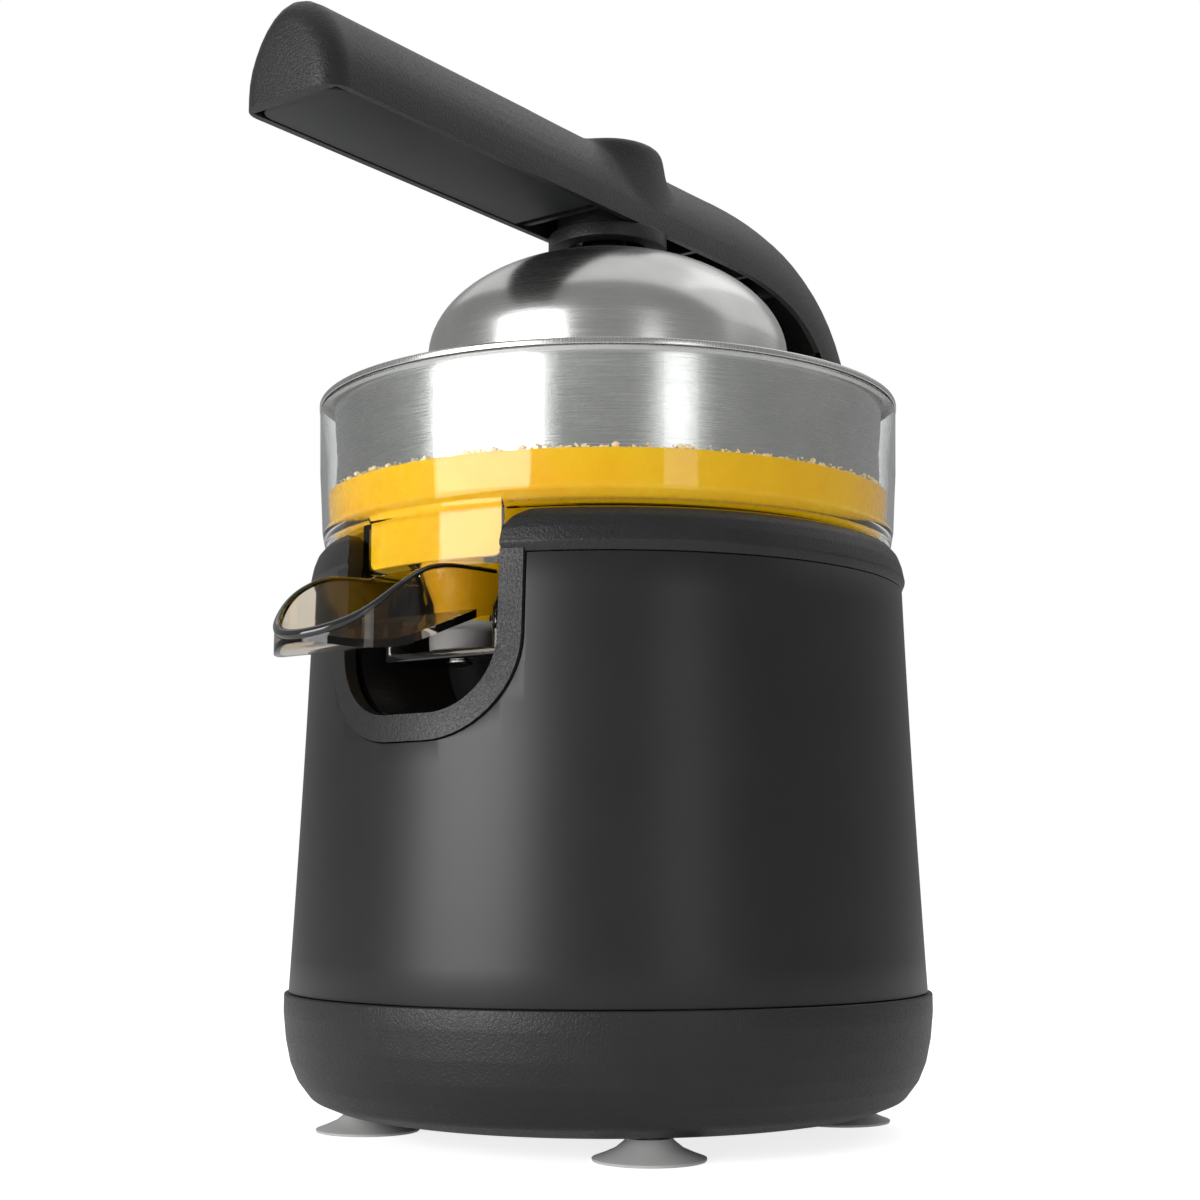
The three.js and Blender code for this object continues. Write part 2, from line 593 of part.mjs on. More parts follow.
function addReamer() {
  const profile = [
    [33, REAMER_BASE_Z], [36, REAMER_BASE_Z], [36, 189], [34.5, 191], [30, 206], [20, 225],
    [8, 240.5], [0, REAMER_TIP_Z], [0, 202], [15.5, 202], [22, 194],
  ];
  const points = profile.map(([r, z]) => new THREE.Vector2(r, z));
  points.push(points[0].clone());
  const body = new THREE.LatheGeometry(points, REAMER_FLUTES * 4).rotateX(Math.PI / 2);
  const position = body.attributes.position;
  for (let i = 0; i < position.count; i += 1) {
    const [x, y, z] = [position.getX(i), position.getY(i), position.getZ(i)];
    const r = Math.hypot(x, y);
    const onFlank = z > 190 && r > 0.1 && (z > 203 || r > 30);
    const valley = 0.5 - 0.5 * Math.cos(REAMER_FLUTES * Math.atan2(y, x));
    const scale = onFlank ? 1 - 0.2 * valley : 1;
    position.setXY(i, x * scale, y * scale);
  }
  const socket = rod('z', SPINDLE_R + GAP, 200, SPINDLE_TOP_Z + GAP, [0, 0], 12);
  place(vessel, 'reamer', cut(solid(body), socket), innerBlack);
}

// ---------------------------------------------------------------- spout and outlet seal

function addSpout() {
  const top = [[-77, 153.1], [-88, 152.7], [-97, 152.2], [-104, 150.8], [-111, 148], [-117, 143.4],
    [-123, 137.2], [-131, 131.4]];
  const under = [[-129.5, 129.4], [-125, 128.5], [-115, 129], [-105, 132.5], [-95, 136], [-84, 140.2]];
  const rear = [[-77, 141.5], [-43.5, 141.5], [-43.5, 151], [-46, 153.1]];
  const side = sideways(outline([...top, ...under, ...rear]), -SPOUT_HALF, SPOUT_HALF);
  const well = sideways(outline([
    [-140, 200], [-140, 132.6], [-127, 131.4], [-124, 130.6], [-115, 131], [-105, 134.5], [-95, 138],
    [-84.3, 142.1], [-84.3, 120], [-40, 120], [-40, 200],
  ]), -40, 40);

  const plan = (inset) => {
    const shape = new THREE.Shape();
    const half = SPOUT_HALF - inset;
    shape.moveTo(half, -30);
    shape.lineTo(-half, -30);
    shape.lineTo(-half, -111);
    shape.absellipse(0, -111, half, 20 - inset, Math.PI, 2 * Math.PI, false, 0);
    return raised(shape, 100, 200, 10);
  };
  const strap = cut(
    box(-SPOUT_HALF, SPOUT_HALF, -77, -59, 131, 143),
    box(SPOUT_WALL - SPOUT_HALF, SPOUT_HALF - SPOUT_WALL, -80, -50, 133.2, 145),
    rod('z', 2.3, 120, 140, [0, OUTLET_Y], 10));
  const pivot = rod('x', 2.3, -30, 30, [SPOUT_PIVOT.y, SPOUT_PIVOT.z], 10);
  const scoop = cut(side.intersect(plan(0)), well.intersect(plan(SPOUT_WALL)));
  place(spoutSet, 'spout', cut(join(scoop, strap), pivot), smokedPlastic);

  for (const [name, side] of [['left', -1], ['right', 1]]) {
    const pin = join(
      rod('x', 2, 16.4, 30.5, [SPOUT_PIVOT.y, SPOUT_PIVOT.z], 8),
      rod('x', 3.4, 16, 17.9, [SPOUT_PIVOT.y, SPOUT_PIVOT.z], 10));
    place(spoutSet, `spout_pin_${name}`, side < 0 ? pin.mirror([1, 0, 0]) : pin, motorSteel);
  }

  const seal = cut(
    join(rod('z', 15, 139, 140.7, [0, OUTLET_Y], 20), rod('z', 9, 133.5, 139.5, [0, OUTLET_Y], 16)),
    rod('z', 2.3, 130, 137.5, [0, OUTLET_Y], 10));
  place(spoutSet, 'outlet_seal', seal, greySilicone);

  const screw = join(
    rod('z', 4, 129.4, 130.7, [0, OUTLET_Y], 10), rod('z', 2, 130, 137, [0, OUTLET_Y], 8));
  place(spoutSet, 'seal_screw', screw, brushedSteel);
}

// ---------------------------------------------------------------- arm and press cup

// The handle's arched cross-section, `inset` inside the outer skin.
function armSection(inset) {
  const half = ARM_HALF - inset;
  const top = ARM_HEIGHT - inset;
  const bottom = inset > 0 ? -1 : 0;
  return [[-half, bottom], [half, bottom], [half, 6], [half * 0.87, 13.5], [half * 0.56, top - 6],
    [half * 0.24, top - 0.6], [-half * 0.24, top - 0.6], [-half * 0.56, top - 6], [-half * 0.87, 13.5],
    [-half, 6]];
}

// The handle runs straight back over the cup, then bends down to the hinge as a channel.
function armBeam(inset, frontY) {
  const section = armSection(inset);
  const lifted = section.map(([x, up]) => [x, ARM_UNDER_Z + up]);
  const handle = lengthways(outline(lifted), frontY, ARM_BEND_Y + 1);
  const bend = new THREE.CubicBezierCurve3(
    new THREE.Vector3(0, ARM_BEND_Y, ARM_UNDER_Z), new THREE.Vector3(0, 82, ARM_UNDER_Z),
    new THREE.Vector3(0, 110, 262), new THREE.Vector3(0, 111, 226));
  const arch = solid(new THREE.ExtrudeGeometry(outline(section), {
    extrudePath: bend, steps: 7, bevelEnabled: false,
  }));
  return join(handle, arch);
}

function addArm() {
  const front = new THREE.Shape();
  front.moveTo(ARM_HALF + 10, 160);
  front.lineTo(-ARM_HALF - 10, 160);
  front.lineTo(-ARM_HALF - 10, -100);
  front.lineTo(-ARM_HALF, ARM_FRONT_Y + 8);
  front.absarc(8 - ARM_HALF, ARM_FRONT_Y + 8, 8, Math.PI, 1.5 * Math.PI, false);
  front.absarc(ARM_HALF - 8, ARM_FRONT_Y + 8, 8, 1.5 * Math.PI, 2 * Math.PI, false);
  front.lineTo(ARM_HALF + 10, -100);

  const legSide = outline([
    [111, 232], [138.5, 232], [139.9, 205], [140, HINGE.z], [101, HINGE.z], [104, 200],
  ]);
  const legHollow = outline([[108, 231], [136, 231], [137.4, 205], [137.4, 165], [90, 165], [90, 200]]);
  const hingeEye = rod('x', HINGE_R, -ARM_HALF, ARM_HALF, [HINGE.y, HINGE.z], 16);
  const inside = ARM_HALF - ARM_WALL;
  const leg = join(sideways(legSide, -ARM_HALF, ARM_HALF), hingeEye);
  const hub = rod('z', HUB_R, HUB_BOTTOM_Z, HUB_TOP_Z, [0, 0], 16);
  const skin = cut(
    join(armBeam(0, ARM_FRONT_Y), leg),
    armBeam(ARM_WALL, ARM_FRONT_Y + 3.5),
    sideways(legHollow, -inside, inside),
    box(-inside, inside, 100, 145, 160, 197));
  const bosses = [-1, 1].map((side) => {
    const [from, to] = side < 0 ? [-inside - 0.5, -9.8] : [9.8, inside + 0.5];
    return rod('x', 9, from, to, [HINGE.y, HINGE.z], 16);
  });
  const web = box(-inside - 0.5, inside + 0.5, 112, 137.5, 211, 214);
  const ribs = [60, 84].map((y) => box(-inside - 0.5, inside + 0.5, y, y + 2, ARM_UNDER_Z + 1, 289)
    .intersect(armBeam(0.5, ARM_FRONT_Y)));
  const cuts = [
    rod('z', 13.5, HUB_BOTTOM_Z - 1, 288, [0, 0], 16),
    rod('x', 2.3, -25, 25, [0, CUP_PIVOT_Z], 10),
    rod('x', 7.8, 15.6, 18, [HINGE.y, HINGE.z], 16),
    rod('x', 7.8, -18, -15.6, [HINGE.y, HINGE.z], 16),
    rod('x', 6.2, -16, 16, [HINGE.y, HINGE.z], 16),
  ];
  const arm = cut(join(skin.add(hub), web, ...ribs, ...bosses), ...cuts).intersect(raised(front, 100, 320));
  place(armSet, 'arm_shell', arm, texturedBlack);

  const cover = new THREE.Shape();
  cover.moveTo(14.7, -28);
  cover.lineTo(-14.7, -28);
  cover.lineTo(-14.7, -130);
  cover.absarc(-8.7, -130, 6, Math.PI, 1.5 * Math.PI, false);
  cover.absarc(8.7, -130, 6, 1.5 * Math.PI, 2 * Math.PI, false);
  place(armSet, 'arm_cover_plate', raised(cover, ARM_UNDER_Z + 0.2, ARM_UNDER_Z + 2.4, 4), plateGreen);

  for (const [name, side] of [['left', -1], ['right', 1]]) {
    const centre = [HINGE.y, HINGE.z];
    const bush = tube('x', 5.9, 4.3, 9.3, 15.4, centre, 16);
    const cap = rod('x', 7.5, 15.8, 17.2, centre, 16);
    place(armSet, `hinge_bush_${name}`, side < 0 ? bush.mirror([1, 0, 0]) : bush, nylon);
    place(armSet, `hinge_cap_${name}`, side < 0 ? cap.mirror([1, 0, 0]) : cap, innerBlack);
  }
}

function addPressCup() {
  place(armSet, 'cup_pivot_pin', rod('x', 2, -17.5, 17.5, [0, CUP_PIVOT_Z], 8), motorSteel);

  const neck = cut(
    join(rod('z', 8, CUP_FLAT_Z + GAP, 284, [0, 0], 16), rod('z', 11.5, CUP_FLAT_Z + GAP, 264.5, [0, 0], 16)),
    rod('x', 2.3, -20, 20, [0, CUP_PIVOT_Z], 10),
    rod('z', 2.1, 250, 268, [0, 0], 8));
  place(armSet, 'cup_neck', neck, innerBlack);

  const arc = (r, rise, flat, from, to) => {
    const line = [];
    for (let i = from; i !== to; i += Math.sign(to - from)) {
      const angle = (i * Math.PI) / 12;
      line.push([r * Math.cos(angle), Math.min(CUP_CENTRE_Z + rise * Math.sin(angle), flat)]);
    }
    return line;
  };
  const outer = arc(CUP_R, CUP_RISE, CUP_FLAT_Z, 0, 6);
  const inner = arc(CUP_R - SHEET, CUP_RISE - SHEET, CUP_FLAT_Z - SHEET, 5, -1);
  const cup = turned([
    [CUP_R, CUP_RIM_Z], ...outer, [2.7, CUP_FLAT_Z], [2.7, CUP_FLAT_Z - SHEET], ...inner,
    [CUP_R - SHEET, CUP_RIM_Z],
  ]);
  place(armSet, 'press_cup', cup, brushedSteel);

  const screw = join(rod('z', 4, 258.6, 260.7, [0, 0], 10), rod('z', 1.8, 260, 267.5, [0, 0], 8));
  place(armSet, 'cup_screw', screw, brushedSteel);
}

addFeet();
addBasePan();
addOuterShell();
addCollar();
addRecessLiner();
addRearColumn();
addChassis();
addMotor();
addGears();
addGearboxCover();
addSpindle();
addBowl();
addBasket();
addReamer();
addSpout();
addArm();
addPressCup();

export default juicer;
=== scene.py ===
"""The citrus press juicer's visible pieces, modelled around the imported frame.

Lengths are written in millimetres and scaled by MM. +Z is up, the spout faces -Y and the arm's
hinge is at +Y. Each piece is drawn at its own place and rides on one body of the frame.
"""

import json
import math
import random

import bpy
from mathutils import Matrix, Vector

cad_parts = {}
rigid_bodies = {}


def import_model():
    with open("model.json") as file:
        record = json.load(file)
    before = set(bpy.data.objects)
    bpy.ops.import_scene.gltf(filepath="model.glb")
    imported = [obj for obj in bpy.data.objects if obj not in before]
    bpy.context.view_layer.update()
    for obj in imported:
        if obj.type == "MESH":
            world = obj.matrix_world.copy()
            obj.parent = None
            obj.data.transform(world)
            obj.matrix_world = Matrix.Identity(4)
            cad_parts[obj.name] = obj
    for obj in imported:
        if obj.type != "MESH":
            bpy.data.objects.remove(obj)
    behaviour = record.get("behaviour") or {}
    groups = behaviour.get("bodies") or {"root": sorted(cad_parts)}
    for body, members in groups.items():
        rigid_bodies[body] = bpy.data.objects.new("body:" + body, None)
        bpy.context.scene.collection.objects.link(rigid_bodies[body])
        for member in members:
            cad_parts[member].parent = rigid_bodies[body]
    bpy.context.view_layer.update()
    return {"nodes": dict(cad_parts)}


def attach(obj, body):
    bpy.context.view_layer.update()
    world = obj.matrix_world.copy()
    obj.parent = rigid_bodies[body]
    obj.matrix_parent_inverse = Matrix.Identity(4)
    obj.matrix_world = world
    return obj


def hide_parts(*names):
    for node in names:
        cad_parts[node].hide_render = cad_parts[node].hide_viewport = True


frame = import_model()

MM = 0.001
FULL_TURN = 2 * math.pi
WELD = 1e-6

# ---------------------------------------------------------------- drawing helpers


def deselect():
    """Leaves edit mode with nothing selected, so the next operator acts only on what it adds."""
    if bpy.context.object and bpy.context.object.mode != "OBJECT":
        bpy.ops.object.mode_set(mode="OBJECT")
    bpy.ops.object.select_all(action="DESELECT")


def choose(obj):
    deselect()
    obj.select_set(True)
    bpy.context.view_layer.objects.active = obj


def edit(obj):
    """Opens the piece in edit mode with all of it selected."""
    choose(obj)
    bpy.ops.object.mode_set(mode="EDIT")
    bpy.ops.mesh.select_mode(type="VERT")
    bpy.ops.mesh.select_all(action="SELECT")


def leave():
    bpy.ops.object.mode_set(mode="OBJECT")


def weld_and_face_out():
    bpy.ops.mesh.select_all(action="SELECT")
    bpy.ops.mesh.remove_doubles(threshold=WELD)
    bpy.ops.mesh.normals_make_consistent(inside=False)


def drawn(name, points, closed=True):
    """A line through the points, begun from a small plane merged to one corner point."""
    deselect()
    bpy.ops.mesh.primitive_plane_add(size=MM, location=Vector(points[0]) * MM)
    obj = bpy.context.object
    obj.name = obj.data.name = name
    bpy.ops.object.transform_apply(location=True, rotation=True, scale=True)
    edit(obj)
    bpy.ops.mesh.merge(type="CENTER")
    ends = points[1:] + [points[0]] if closed else points[1:]
    for here, there in zip(points, ends):
        step = (Vector(there) - Vector(here)) * MM
        bpy.ops.mesh.extrude_region_move(TRANSFORM_OT_translate={"value": step})
    bpy.ops.mesh.select_all(action="SELECT")
    bpy.ops.mesh.remove_doubles(threshold=WELD)
    return obj


def on_axis(axis, centre, across, along):
    """A point `across` from a turning axis through `centre` and `along` it."""
    a, b = centre
    return {
        "Z": (a + across, b, along),
        "X": (along, a, b + across),
        "Y": (a + across, along, b),
    }[axis]


AXES = {"X": Vector((1, 0, 0)), "Y": Vector((0, 1, 0)), "Z": Vector((0, 0, 1))}


def eased(points, arc=4):
    """Rounds each corner that carries a third value, its radius."""
    line = []
    for i, point in enumerate(points):
        here = Vector(point[:2])
        if len(point) < 3:
            line.append(tuple(here))
            continue
        back = (Vector(points[i - 1][:2]) - here).normalized()
        on = (Vector(points[(i + 1) % len(points)][:2]) - here).normalized()
        half = back.angle(on) / 2
        middle = here + (back + on).normalized() * (point[2] / math.sin(half))
        first = here + back * (point[2] / math.tan(half)) - middle
        last = here + on * (point[2] / math.tan(half)) - middle
        for k in range(arc + 1):
            spoke = first.lerp(last, k / arc).normalized() * point[2]
            line.append(tuple(middle + spoke))
    return line


def turned(name, profile, steps=96, centre=(0, 0), axis="Z", arc=4):
    """A profile of (radius, height) spun about an axis. It is a closed loop, or ends on the axis."""
    line = eased(profile, arc)
    closed = not (line[0][0] < WELD and line[-1][0] < WELD)
    obj = drawn(name, [on_axis(axis, centre, r, h) for r, h in line], closed)
    bpy.ops.mesh.select_all(action="SELECT")
    bpy.ops.mesh.spin(
        steps=steps,
        angle=FULL_TURN,
        center=Vector(on_axis(axis, centre, 0, 0)) * MM,
        axis=AXES[axis],
    )
    weld_and_face_out()
    leave()
    return obj


def slab(name, outline, axis, low, high):
    """An outline drawn square to an axis and extruded along it."""
    places = {
        "X": lambda a, b: (low, a, b),
        "Y": lambda a, b: (a, low, b),
        "Z": lambda a, b: (a, b, low),
    }
    obj = drawn(name, [places[axis](a, b) for a, b in outline])
    bpy.ops.mesh.edge_face_add()
    step = AXES[axis] * (high - low) * MM
    bpy.ops.mesh.extrude_region_move(TRANSFORM_OT_translate={"value": step})
    weld_and_face_out()
    leave()
    return obj


def block(name, x0, x1, y0, y1, z0, z1):
    return slab(name, [(x0, y0), (x1, y0), (x1, y1), (x0, y1)], "Z", z0, z1)


def rod(name, axis, radius, low, high, centre=(0, 0), steps=48):
    return turned(name, [(0, low), (radius, low), (radius, high), (0, high)], steps, centre, axis)


def apply_modifier(obj, kind, **settings):
    choose(obj)
    modifier = obj.modifiers.new(kind.lower(), kind)
    for key, value in settings.items():
        setattr(modifier, key, value)
    bpy.ops.object.modifier_apply(modifier=modifier.name)


def combine(obj, how, *tools):
    for tool in tools:
        apply_modifier(obj, "BOOLEAN", operation=how, object=tool, solver="EXACT")
        bpy.data.objects.remove(tool)
    return obj


def cut(obj, *tools):
    return combine(obj, "DIFFERENCE", *tools)


def add(obj, *tools):
    return combine(obj, "UNION", *tools)


def meet(obj, *tools):
    return combine(obj, "INTERSECT", *tools)


def joined(name, objects):
    """Several separate pieces made one object."""
    deselect()
    for obj in objects:
        obj.select_set(True)
    bpy.context.view_layer.objects.active = objects[0]
    bpy.ops.object.join()
    objects[0].name = objects[0].data.name = name
    return objects[0]


def copy_of(obj, name, place):
    """A twin with a mesh of its own, put in its place."""
    twin = obj.copy()
    twin.data = obj.data.copy()
    twin.name = twin.data.name = name
    bpy.context.scene.collection.objects.link(twin)
    twin.data.transform(place)
    return twin


def soften(obj, width, angle=40, segments=3):
    """Bevels every edge sharper than the angle."""
    apply_modifier(
        obj, "BEVEL", width=width * MM, segments=segments, limit_method="ANGLE",
        angle_limit=math.radians(angle), use_clamp_overlap=True,
    )
    edit(obj)
    bpy.ops.mesh.remove_doubles(threshold=WELD)
    leave()
    return obj


def done(obj, material, body, nodes=(), smooth=32):
    """Smooths and paints the piece, gives it its body, and hides the CAD nodes it stands for."""
    choose(obj)
    bpy.ops.object.shade_smooth_by_angle(angle=math.radians(smooth))
    obj.data.materials.clear()
    obj.data.materials.append(material)
    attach(obj, body)
    if nodes:
        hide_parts(*nodes)
    return obj


def polar(radius, degrees):
    angle = math.radians(degrees)
    return radius * math.cos(angle), radius * math.sin(angle)


def smooth_line(points, each=6):
    """A flowing curve through the points."""
    line = []
    for i in range(len(points) - 1):
        p0, p1 = Vector(points[max(i - 1, 0)]), Vector(points[i])
        p2, p3 = Vector(points[i + 1]), Vector(points[min(i + 2, len(points) - 1)])
        for k in range(each):
            t = k / each
            line.append(tuple(0.5 * (
                2 * p1 + (p2 - p0) * t + (2 * p0 - 5 * p1 + 4 * p2 - p3) * t ** 2
                + (3 * p1 - p0 - 3 * p2 + p3) * t ** 3
            )))
    line.append(tuple(points[-1]))
    return line


# ---------------------------------------------------------------- finishes


def shader(name, **sockets):
    material = bpy.data.materials.new(name)
    material.use_nodes = True
    principled = material.node_tree.nodes["Principled BSDF"]
    for socket, value in sockets.items():
        principled.inputs[socket.replace("_", " ")].default_value = value
    return material, material.node_tree, principled


def pattern(tree, size, stretch=(1, 1, 1), detail=2.0, distortion=0.0):
    """Noise on the piece's own coordinates, `size` millimetres across."""
    place = tree.nodes.new("ShaderNodeTexCoord")
    mapping = tree.nodes.new("ShaderNodeMapping")
    noise = tree.nodes.new("ShaderNodeTexNoise")
    mapping.inputs["Scale"].default_value = [s / (size * MM) for s in stretch]
    noise.inputs["Scale"].default_value = 1.0
    noise.inputs["Detail"].default_value = detail
    noise.inputs["Distortion"].default_value = distortion
    tree.links.new(place.outputs["Object"], mapping.inputs["Vector"])
    tree.links.new(mapping.outputs["Vector"], noise.inputs["Vector"])
    return noise.outputs["Fac"]


def spread(tree, factor, low, high, start=0.3, end=0.7):
    """The factor between start and end, spread over low to high."""
    node = tree.nodes.new("ShaderNodeMapRange")
    for socket, value in zip(("From Min", "From Max", "To Min", "To Max"), (start, end, low, high)):
        node.inputs[socket].default_value = value
    tree.links.new(factor, node.inputs["Value"])
    return node.outputs["Result"]


def tones(tree, factor, dark, light, start=0.3, end=0.7):
    """The factor between start and end, drawn as a blend of two colours."""
    ramp = tree.nodes.new("ShaderNodeValToRGB")
    ramp.color_ramp.elements[0].position = start
    ramp.color_ramp.elements[1].position = end
    ramp.color_ramp.elements[0].color = (*dark, 1)
    ramp.color_ramp.elements[1].color = (*light, 1)
    tree.links.new(factor, ramp.inputs["Fac"])
    return ramp.outputs["Color"]


def raise_grain(tree, principled, factor, depth):
    bump = tree.nodes.new("ShaderNodeBump")
    bump.inputs["Distance"].default_value = depth * MM
    bump.inputs["Strength"].default_value = 1.0
    tree.links.new(factor, bump.inputs["Height"])
    tree.links.new(bump.outputs["Normal"], principled.inputs["Normal"])


def moulded(name, dark, light, gloss, grain, depth, drift=18, stretch=(1, 1, 1), detail=2.0,
            distortion=0.4, **sockets):
    """A moulded or painted finish: tone drifts slowly, and a fine grain carries gloss and relief."""
    material, tree, principled = shader(name, **sockets)
    slow = pattern(tree, drift, detail=3.0)
    fine = pattern(tree, grain, stretch, detail, distortion)
    tree.links.new(tones(tree, slow, dark, light), principled.inputs["Base Color"])
    tree.links.new(spread(tree, fine, *gloss), principled.inputs["Roughness"])
    raise_grain(tree, principled, fine, depth)
    return material


def radial_steel(name, dark, light, gloss, strokes_per_radian=260.0, depth=0.006):
    """Steel brushed in short strokes that point at the spindle."""
    material, tree, principled = shader(name, Metallic=1.0)
    place = tree.nodes.new("ShaderNodeTexCoord")
    parts = tree.nodes.new("ShaderNodeSeparateXYZ")
    angle = tree.nodes.new("ShaderNodeMath")
    angle.operation = "ARCTAN2"
    strokes = tree.nodes.new("ShaderNodeMath")
    strokes.operation = "MULTIPLY"
    strokes.inputs[1].default_value = strokes_per_radian
    line = tree.nodes.new("ShaderNodeCombineXYZ")
    noise = tree.nodes.new("ShaderNodeTexNoise")
    noise.inputs["Scale"].default_value = 1.0
    tree.links.new(place.outputs["Object"], parts.inputs["Vector"])
    tree.links.new(parts.outputs["Y"], angle.inputs[0])
    tree.links.new(parts.outputs["X"], angle.inputs[1])
    tree.links.new(angle.outputs["Value"], strokes.inputs[0])
    tree.links.new(strokes.outputs["Value"], line.inputs["X"])
    tree.links.new(line.outputs["Vector"], noise.inputs["Vector"])
    fine = noise.outputs["Fac"]
    tree.links.new(tones(tree, fine, dark, light), principled.inputs["Base Color"])
    tree.links.new(spread(tree, fine, *gloss), principled.inputs["Roughness"])
    raise_grain(tree, principled, fine, depth)
    return material


LEATHER = moulded(
    "textured_black", (0.011, 0.011, 0.0115), (0.015, 0.015, 0.0155), (0.33, 0.48), 0.70, 0.16,
    detail=2.5, distortion=0.7, Specular_IOR_Level=0.45,
)
SHELL = moulded(
    "shell_paint", (0.0115, 0.011, 0.0115), (0.014, 0.0135, 0.014), (0.35, 0.41), 0.30, 0.002,
    Specular_IOR_Level=0.42,
)
INNER = moulded("inner_black", (0.008, 0.008, 0.009), (0.013, 0.013, 0.014), (0.35, 0.5), 0.8, 0.02)
PLATE = moulded("plate_black", (0.020, 0.023, 0.022), (0.026, 0.029, 0.028), (0.50, 0.62), 0.35, 0.012)
STEEL = moulded(
    "brushed_steel", (0.61, 0.61, 0.60), (0.70, 0.70, 0.685), (0.21, 0.29), 0.22, 0.0020,
    stretch=(0.012, 0.012, 1), detail=4.0, distortion=0.0, Metallic=1.0,
)
RIM_STEEL = radial_steel("rim_steel", (0.58, 0.58, 0.57), (0.74, 0.74, 0.72), (0.18, 0.32))
CLEAR = moulded(
    "clear_plastic", (0.97, 0.985, 0.98), (0.985, 0.995, 0.99), (0.01, 0.03), 9.0, 0.01,
    Transmission_Weight=1.0, IOR=1.30, Specular_IOR_Level=0.3,
)
SMOKED = moulded(
    "smoked_plastic", (0.60, 0.53, 0.43), (0.66, 0.59, 0.49), (0.02, 0.05), 8.0, 0.01,
    Transmission_Weight=1.0, IOR=1.42,
)
SMOKED_EDGE = moulded(
    "smoked_edge", (0.010, 0.010, 0.011), (0.018, 0.017, 0.016), (0.06, 0.12), 6.0, 0.01,
    Coat_Weight=0.6, Coat_Roughness=0.04,
)
SILICONE = moulded(
    "grey_silicone", (0.50, 0.50, 0.50), (0.58, 0.58, 0.57), (0.45, 0.6), 0.7, 0.012,
)
NYLON = moulded("nylon", (0.72, 0.70, 0.63), (0.80, 0.78, 0.71), (0.42, 0.55), 0.9, 0.01)
PARTS_STEEL = moulded(
    "steel_parts", (0.42, 0.43, 0.45), (0.56, 0.57, 0.59), (0.26, 0.42), 0.5, 0.004,
    stretch=(1, 1, 0.08), Metallic=1.0,
)
BRASS = moulded(
    "brass_parts", (0.52, 0.36, 0.14), (0.66, 0.48, 0.20), (0.28, 0.42), 0.5, 0.004, Metallic=1.0,
)
BOARD = moulded("board_green", (0.02, 0.12, 0.04), (0.03, 0.18, 0.06), (0.35, 0.5), 1.6, 0.02)
# The juice's emission is a painted glow: it stands in for light scattered through the juice and brightens
# it without any lamp.
JUICE = moulded(
    "orange_juice", (0.95, 0.45, 0.002), (1.0, 0.58, 0.008), (0.22, 0.34), 2.6, 0.03, drift=24,
    Subsurface_Weight=0.18, Subsurface_Radius=(0.006, 0.003, 0.001), Subsurface_Scale=1.0,
    Specular_IOR_Level=0.15, Emission_Color=(1.0, 0.58, 0.005, 1), Emission_Strength=0.22,
)
# The foam's emission is a painted glow: it stands in for light caught in the bubbles and lightens them
# without any lamp.
FOAM = moulded(
    "juice_foam", (0.97, 0.70, 0.26), (1.0, 0.92, 0.72), (0.05, 0.12), 1.5, 0.01, drift=3,
    Subsurface_Weight=0.2, Coat_Weight=0.5, Coat_Roughness=0.03,
    Emission_Color=(1.0, 0.80, 0.42, 1), Emission_Strength=0.18,
)
FINISHES = {
    "textured_black": LEATHER, "shell_paint": SHELL, "inner_black": INNER, "plate_black": PLATE,
    "brushed_steel": STEEL, "clear_plastic": CLEAR, "smoked_plastic": SMOKED, "grey_silicone": SILICONE,
    "nylon": NYLON, "steel_parts": PARTS_STEEL, "brass_parts": BRASS, "board_green": BOARD,
}

# ---------------------------------------------------------------- shared measures

SHELL_FOOT_Z, SHELL_FOOT_R = 39.7, 93.5
SHELL_TOP_Z, SHELL_TOP_R = 156.2, 88.6
WAIST = 0.35
FOOT_ANGLES = (45, 135, 225, 315)
SCREW_ANGLES = (0, 90, 180, 270)
FOOT_CIRCLE, SCREW_CIRCLE = 70, 64
GROMMET_Z = 24
VENT_PITCH = 9
NOTCH = (27.3, 20, 115)
BEZEL = (33.5, 27, 107.8)
COLLAR_TOP, EAR = 168.5, 8
OUTLET_Y = -68
FOAM_SEED, FOAM_BUBBLES = 7, 760
SPOUT_HALF = 20
HINGE_Y, HINGE_Z = 120, 190
ARM_HALF, ARM_UNDER, ARM_HEIGHT = 17, 270, 27.5
REAR_HEIGHT, BEND_STEPS = 26.8, 18
PIVOT_Z = 272


def shell_radius(z):
    t = (z - SHELL_FOOT_Z) / (SHELL_TOP_Z - SHELL_FOOT_Z)
    return SHELL_FOOT_R + (SHELL_TOP_R - SHELL_FOOT_R) * t - 4 * WAIST * t * (1 - t)


def shell_line(offset, start, end, steps=12):
    heights = [start + (end - start) * i / steps for i in range(steps + 1)]
    return [(shell_radius(z) + offset, z) for z in heights]


def front_u(measures, offset, top, arc=14):
    """The U of the front opening: straight sides up to `top` and round lower corners."""
    half, corner, bottom = measures
    radius, x, z = corner + offset, half - corner, bottom + corner
    line = [(-half - offset, top)]
    for side, start in ((-1, 180), (1, 270)):
        for k in range(arc + 1):
            a, b = polar(radius, start + 90 * k / arc)
            line.append((side * x + a, z + b))
    return line + [(half + offset, top)]


# ---------------------------------------------------------------- base and casing


def make_feet():
    foot = turned("suction_foot", [
        (0, 2.6), (9.5, 1.0), (13.4, 0.0), (14.8, 0.0, 0.2), (15.0, 0.7, 0.2), (12.2, 1.7),
        (9.0, 3.1), (6.6, 5.0), (6.1, 5.75), (3.5, 5.75), (3.5, 9.3, 0.4), (5.0, 9.3, 0.4),
        (4.0, 11.0, 0.5), (0, 11.0),
    ], 48)
    for i, angle in enumerate(FOOT_ANGLES):
        x, y = polar(FOOT_CIRCLE, angle)
        twin = copy_of(foot, f"foot_pad_{i + 1}", Matrix.Translation((x * MM, y * MM, 0)))
        done(twin, SILICONE, "base", [f"foot_{i + 1}"])
    bpy.data.objects.remove(foot)


